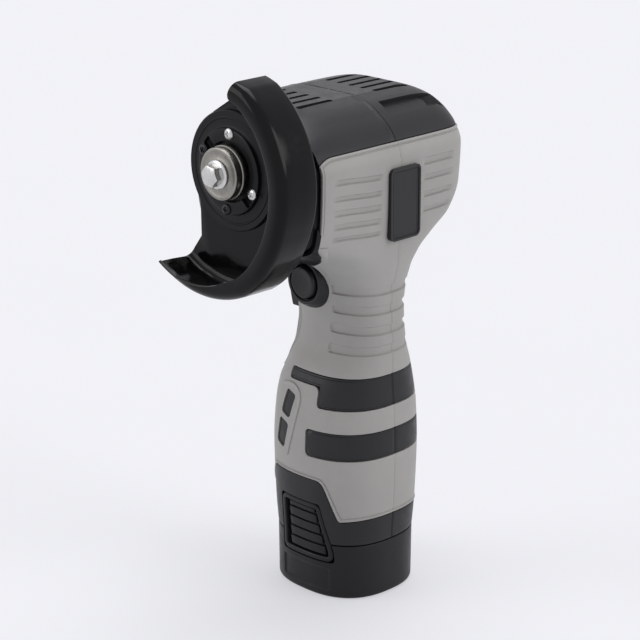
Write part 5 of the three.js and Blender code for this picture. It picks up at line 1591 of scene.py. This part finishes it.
def make_finishes(colours):
    FINISHES.clear()
    FINISHES.update({
        "soft grip grey": moulded_plastic("soft_grip_grey", colours.soft_grey, 0.55, 1500.0, 0.22, 0.04, 0.35),
        "charcoal plastic": moulded_plastic("charcoal_plastic", colours.charcoal, 0.42, 1800.0, 0.2, 0.1, 0.3),
        # Gear cover and apron: a darker copy of the charcoal, as painted shade on the black that faces away from the
        # lamps between guard and head
        "gear cover plastic with painted shade": moulded_plastic(
            "gear_cover_plastic_painted_shade", shade(colours.charcoal, 0.65), 0.36, 1500.0, 0.2, 0.1, 0.16),
        "pack plastic": moulded_plastic("pack_plastic", shade(colours.charcoal, 0.75), 0.4, 1800.0, 0.2, 0.1, 0.24),
        "plate plastic": moulded_plastic("plate_plastic", colours.charcoal, 0.36, 2200.0, 0.12, 0.08, 0.35),
        "guard paint": moulded_plastic("guard_paint", colours.guard_black, 0.14, 700.0, 0.03, 0.1, 0.16),
        # The retainer's own black paint, as a darker copy of the charcoal that also carries painted shade where it
        # faces away from the lamps
        "retainer paint with painted shade": moulded_plastic(
            "retainer_paint", shade(colours.charcoal, 0.55), 0.32, 1100.0, 0.12, 0.1, 0.15),
        "bright zinc": worked_metal("bright_zinc", colours.zinc, 0.24, "turned", 0.12),
        "warm steel": worked_metal("warm_steel", colours.washer_steel, 0.4, "turned", 0.3),
        "spindle steel": worked_metal("spindle_steel", colours.washer_steel, 0.3, "turned", 0.2),
        "screw steel": worked_metal("screw_steel", colours.zinc, 0.26, "drawn", 0.2),
        "blackened steel": worked_metal("blackened_steel", (0.035, 0.035, 0.036), 0.38, "drawn", 0.15),
        "spring wire": worked_metal("spring_wire", colours.zinc, 0.33, "drawn", 0.25),
        "stator steel": worked_metal("stator_steel", colours.washer_steel, 0.45, "drawn", 0.4),
        "contact brass": worked_metal("contact_brass", (0.72, 0.52, 0.24), 0.3, "drawn", 0.2),
        "fan plastic": moulded_plastic("fan_plastic", (0.03, 0.03, 0.032), 0.4, 1600.0, 0.2),
        "cell wrap": moulded_plastic("cell_wrap", (0.05, 0.16, 0.3), 0.35, 600.0, 0.08, 0.12),
        "circuit board": moulded_plastic("circuit_board", (0.02, 0.13, 0.06), 0.35, 900.0, 0.15, 0.2),
    })


SLOT_FINISH = {
    "black_plastic": "charcoal plastic", "grey_soft_grip": "soft grip grey", "plate_plastic": "plate plastic",
    "guard_paint": "guard paint", "retainer_paint": "retainer paint with painted shade", "bright_zinc": "bright zinc",
    "flange_steel": "warm steel", "screw_steel": "screw steel", "spring_steel": "spring wire",
    "motor_steel": "stator steel", "fan_plastic": "fan plastic", "cell": "cell wrap", "contact": "contact brass",
    "circuit_board": "circuit board",
}


def hand(piece, body, slot, *nodes, finish=None, angle=30):
    smooth(piece, angle)
    return hand_over(piece, body, slot, *nodes, finish=finish_of(finish or SLOT_FINISH[slot]))


# Sizes and colours

def colour_choice(name, description, default):
    return bpy.props.FloatVectorProperty(
        name=name, description=description, default=default, subtype="COLOR", size=3, min=0, max=1,
    )


def length(name, description, default):
    return bpy.props.FloatProperty(name=name, description=description, default=default, unit="LENGTH", min=0)


class GrinderSizes(bpy.types.PropertyGroup):
    sleeve_wall: length("Sleeve wall", "Thickness of the grey sleeve", 0.0013)
    grip_groove_depth: length("Grip groove depth", "Depth of the grooves across the palm side", 0.0008)
    side_groove_depth: length("Side groove depth", "Depth of the grooves on the sides of the head", 0.0009)
    guard_radius: length("Guard radius", "Outer radius of the guard round the spindle", 0.0476)
    guard_sheet: length("Guard sheet", "Thickness of the guard's sheet", 0.0015)
    guard_lip_radius: length("Guard lip radius", "Radius of the lip's inner edge", 0.0396)
    retainer_radius: length("Retainer radius", "Radius of the plate that holds the guard", 0.0252)
    bezel_radius: length("Bezel radius", "Radius of the ring round the lock button", 0.0098)
    button_radius: length("Button radius", "Radius of the lock button", 0.007)
    plate_width: length("Plate width", "Width of the bare rating plate", 0.0179)
    plate_height: length("Plate height", "Height of the bare rating plate", 0.031)
    latch_rib_width: length("Latch rib width", "Width of each rib on the latches", 0.0038)


class GrinderColours(bpy.types.PropertyGroup):
    soft_grey: colour_choice("Soft grey", "Colour of the soft sleeve", (0.365, 0.355, 0.343))
    charcoal: colour_choice("Charcoal", "Colour of the black housing and battery", (0.014, 0.014, 0.016))
    guard_black: colour_choice("Guard black", "Colour of the guard's paint", (0.0025, 0.0025, 0.003))
    zinc: colour_choice("Bright zinc", "Colour of the bolt and screws", (0.62, 0.62, 0.61))
    washer_steel: colour_choice("Washer steel", "Colour of the washers", (0.28, 0.268, 0.245))
    floor: colour_choice("Floor", "Colour of the floor and backdrop", (0.885, 0.89, 0.93))


# One operator for each piece or group of like pieces

class GRINDER_OT_finishes(bpy.types.Operator):
    """Make the finishes and give the inner parts theirs"""
    bl_idname = "grinder.finishes"
    bl_label = "Finishes"

    def execute(self, context):
        make_finishes(context.scene.grinder_colours)
        for name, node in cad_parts.items():
            node.data.materials.clear()
            node.data.materials.append(finish_of(node_finish(name)))
        return {"FINISHED"}


def node_finish(name):
    for part, finish in (
        ("spring", "spring wire"), ("screw", "screw steel"), ("cell", "cell wrap"), ("board", "circuit board"),
        ("terminal_block", "charcoal plastic"), ("terminal", "contact brass"), ("bearing", "screw steel"),
        ("stator", "stator steel"), ("rotor", "spindle steel"), ("fan", "fan plastic"), ("guard", "guard paint"),
        ("flange", "warm steel"), ("sleeve", "soft grip grey"),
    ):
        if part in name:
            return finish
    return "charcoal plastic"


class GRINDER_OT_housing(bpy.types.Operator):
    """Make the two halves of the black housing"""
    bl_idname = "grinder.housing"
    bl_label = "Black housing"

    def execute(self, context):
        for side, name in ((NEAR, "near"), (FAR, "far")):
            hand(make_housing(side), "tool", "black_plastic", "housing_" + name)
        return {"FINISHED"}


class GRINDER_OT_sleeves(bpy.types.Operator):
    """Make the two grey sleeves"""
    bl_idname = "grinder.sleeves"
    bl_label = "Grey sleeves"

    def execute(self, context):
        for side, name in ((NEAR, "near"), (FAR, "far")):
            piece = make_sleeve(side, context.scene.grinder_sizes)
            if side == NEAR:
                join(piece, make_chin_beads())
            hand(piece, "tool", "grey_soft_grip", "sleeve_" + name)
        return {"FINISHED"}


class GRINDER_OT_gear_cover(bpy.types.Operator):
    """Make the gear cover that closes the front of the head"""
    bl_idname = "grinder.gear_cover"
    bl_label = "Gear cover"

    def execute(self, context):
        hand(make_nose(), "tool", "black_plastic", "nose_plate", finish="gear cover plastic with painted shade")
        hand(make_apron(), "tool", "black_plastic", finish="gear cover plastic with painted shade")
        return {"FINISHED"}


class GRINDER_OT_guard(bpy.types.Operator):
    """Make the wheel guard"""
    bl_idname = "grinder.guard"
    bl_label = "Guard"

    def execute(self, context):
        hand(make_guard(context.scene.grinder_sizes), "guard", "guard_paint", "guard")
        return {"FINISHED"}


class GRINDER_OT_retainer(bpy.types.Operator):
    """Make the guard's retainer and its four cross screws"""
    bl_idname = "grinder.retainer"
    bl_label = "Retainer and screws"

    def execute(self, context):
        piece = make_retainer(context.scene.grinder_sizes)
        hand(piece, "tool", "retainer_paint", "guard_retainer")
        for number, share in enumerate((0.24, 0.43, 0.74, 0.93), 1):
            screw = make_retainer_screw(f"cross_screw_{number}", share)
            look = "screw steel" if number in (1, 4) else "blackened steel"
            hand(screw, "tool", "screw_steel", f"retainer_screw_{number}", finish=look)
        return {"FINISHED"}


class GRINDER_OT_spindle(bpy.types.Operator):
    """Make the washers and the bolt on the spindle"""
    bl_idname = "grinder.spindle"
    bl_label = "Washers and bolt"

    def execute(self, context):
        hand(make_inner_flange(), "spindle", "flange_steel", "inner_flange")
        hand(make_outer_flange(), "spindle", "flange_steel", "outer_flange")
        hand(make_bolt(), "spindle", "bright_zinc", "flange_bolt")
        return {"FINISHED"}


class GRINDER_OT_controls(bpy.types.Operator):
    """Make the lock button, its bezel and the trigger"""
    bl_idname = "grinder.controls"
    bl_label = "Button and trigger"

    def execute(self, context):
        sizes = context.scene.grinder_sizes
        hand(make_bezel(sizes), "tool", "black_plastic")
        hand(make_button(sizes), "lock_button", "black_plastic", "lock_button")
        hand(make_trigger(), "trigger", "black_plastic", "trigger")
        return {"FINISHED"}


class GRINDER_OT_rating_plate(bpy.types.Operator):
    """Make the bare rating plate"""
    bl_idname = "grinder.rating_plate"
    bl_label = "Rating plate"

    def execute(self, context):
        hand(make_rating_plate(context.scene.grinder_sizes), "tool", "plate_plastic", "rating_plate")
        return {"FINISHED"}


class GRINDER_OT_battery(bpy.types.Operator):
    """Make the battery pack's shell, latch frames and latches"""
    bl_idname = "grinder.battery"
    bl_label = "Battery pack"

    def execute(self, context):
        hand(make_pack_case(), "battery", "black_plastic", "battery_case", finish="pack plastic")
        for side, name in ((NEAR, "near"), (FAR, "far")):
            hand(make_latch_frame(side), "battery", "black_plastic", finish="pack plastic")
            latch = make_latch(side, context.scene.grinder_sizes)
            hand(latch, "latch_" + name, "black_plastic", "latch_" + name, finish="pack plastic")
        return {"FINISHED"}


def shown_shader(tree, seen, strength, others):
    """The colour a camera, a mirror or glass sees, mixed over what lights the object."""
    path = tree.nodes.new("ShaderNodeLightPath")
    total = path.outputs["Is Camera Ray"]
    for key in ("Is Glossy Ray", "Is Transmission Ray"):
        added = tree.nodes.new("ShaderNodeMath")
        added.operation = "MAXIMUM"
        tree.links.new(total, added.inputs[0])
        tree.links.new(path.outputs[key], added.inputs[1])
        total = added.outputs[0]
    share = tree.nodes.new("ShaderNodeMath")
    share.operation = "MULTIPLY"
    share.inputs[1].default_value = strength
    tree.links.new(total, share.inputs[0])
    mixed = tree.nodes.new("ShaderNodeMixShader")
    tree.links.new(share.outputs[0], mixed.inputs["Fac"])
    tree.links.new(others, mixed.inputs[1])
    tree.links.new(seen, mixed.inputs[2])
    return mixed.outputs[0]


def add_lamp(name, place, energy, spread):
    """A broad, soft lamp that lights everything alike from one direction."""
    lamp = bpy.data.lights.new(name, "SUN")
    lamp.energy = energy
    lamp.angle = math.radians(spread)
    holder = bpy.data.objects.new(name, lamp)
    bpy.context.scene.collection.objects.link(holder)
    holder.location = place
    holder.rotation_euler = (-Vector(place)).to_track_quat("-Z", "Y").to_euler()


class GRINDER_OT_stage(bpy.types.Operator):
    """Set the floor, the backdrop, the lamps and the camera"""
    bl_idname = "grinder.stage"
    bl_label = "Stage"

    def execute(self, context):
        scene = context.scene
        colour = scene.grinder_colours.floor
        made = Finish("pale_floor")
        grain = made.noise(6.0, 3.0)
        made.set(base_color=made.tint(grain, shade(colour, 0.985), shade(colour, 1.0)), roughness=0.9)
        glow = made.add("Emission")
        glow.inputs["Color"].default_value = (*colour, 1)
        glow.inputs["Strength"].default_value = 1.0
        surface = shown_shader(made.tree, glow.outputs[0], 0.52, made.shader.outputs[0])
        made.link(surface, made.tree.nodes["Material Output"].inputs["Surface"])
        deselect()
        bpy.ops.mesh.primitive_plane_add(size=6, location=(0, 0, -0.0002))
        floor = settle(new_piece("floor"))
        floor.data.materials.append(made.material)
        world = bpy.data.worlds.new("studio")
        scene.world = world
        world.use_nodes = True
        tree = world.node_tree
        tree.nodes["Background"].inputs["Color"].default_value = (1, 1, 1, 1)
        tree.nodes["Background"].inputs["Strength"].default_value = 0.32
        seen = tree.nodes.new("ShaderNodeBackground")
        seen.inputs["Color"].default_value = (*colour, 1)
        surface = shown_shader(tree, seen.outputs[0], 1.0, tree.nodes["Background"].outputs[0])
        tree.links.new(surface, tree.nodes["World Output"].inputs["Surface"])
        add_lamp("top light", (-0.15, 0.25, 1.3), 1.4, 40)
        add_lamp("right light", (1.15, 0.45, 0.6), 1.0, 40)
        add_lamp("left light", (-0.75, -1.0, 0.5), 0.8, 40)
        turn, pitch = math.radians(45.3), math.radians(18.7)
        aim = Vector((-math.sin(turn) * math.cos(pitch), math.cos(turn) * math.cos(pitch), -math.sin(pitch)))
        camera = bpy.data.cameras.new("camera")
        camera.lens, camera.sensor_width = 125.05, 36
        holder = bpy.data.objects.new("camera", camera)
        scene.collection.objects.link(holder)
        holder.location = (0.6385, -0.6476, 0.4267)
        holder.rotation_euler = aim.to_track_quat("-Z", "Y").to_euler()
        scene.camera = holder
        scene.view_settings.view_transform = "Standard"
        return {"FINISHED"}


OPERATORS = (
    GRINDER_OT_finishes, GRINDER_OT_housing, GRINDER_OT_sleeves, GRINDER_OT_gear_cover, GRINDER_OT_guard,
    GRINDER_OT_retainer, GRINDER_OT_spindle, GRINDER_OT_controls, GRINDER_OT_rating_plate,
    GRINDER_OT_battery, GRINDER_OT_stage,
)


class GRINDER_PT_panel(bpy.types.Panel):
    """The grinder's pieces, in the order they are made"""
    bl_idname = "GRINDER_PT_panel"
    bl_label = "Cordless angle grinder"
    bl_space_type = "VIEW_3D"
    bl_region_type = "UI"
    bl_category = "Grinder"

    def draw(self, context):
        layout = self.layout
        for operator in OPERATORS:
            layout.operator(operator.bl_idname)
        for group in (context.scene.grinder_sizes, context.scene.grinder_colours):
            for name in group.__annotations__:
                layout.prop(group, name)


CLASSES = (GrinderSizes, GrinderColours, *OPERATORS, GRINDER_PT_panel)


def register():
    for item in CLASSES:
        bpy.utils.register_class(item)
    bpy.types.Scene.grinder_sizes = bpy.props.PointerProperty(type=GrinderSizes)
    bpy.types.Scene.grinder_colours = bpy.props.PointerProperty(type=GrinderColours)


def unregister():
    del bpy.types.Scene.grinder_colours
    del bpy.types.Scene.grinder_sizes
    for item in reversed(CLASSES):
        bpy.utils.unregister_class(item)


def main():
    register()
    for operator in OPERATORS:
        getattr(bpy.ops.grinder, operator.bl_idname.split(".")[1])()


if __name__ == "__main__":
    main()
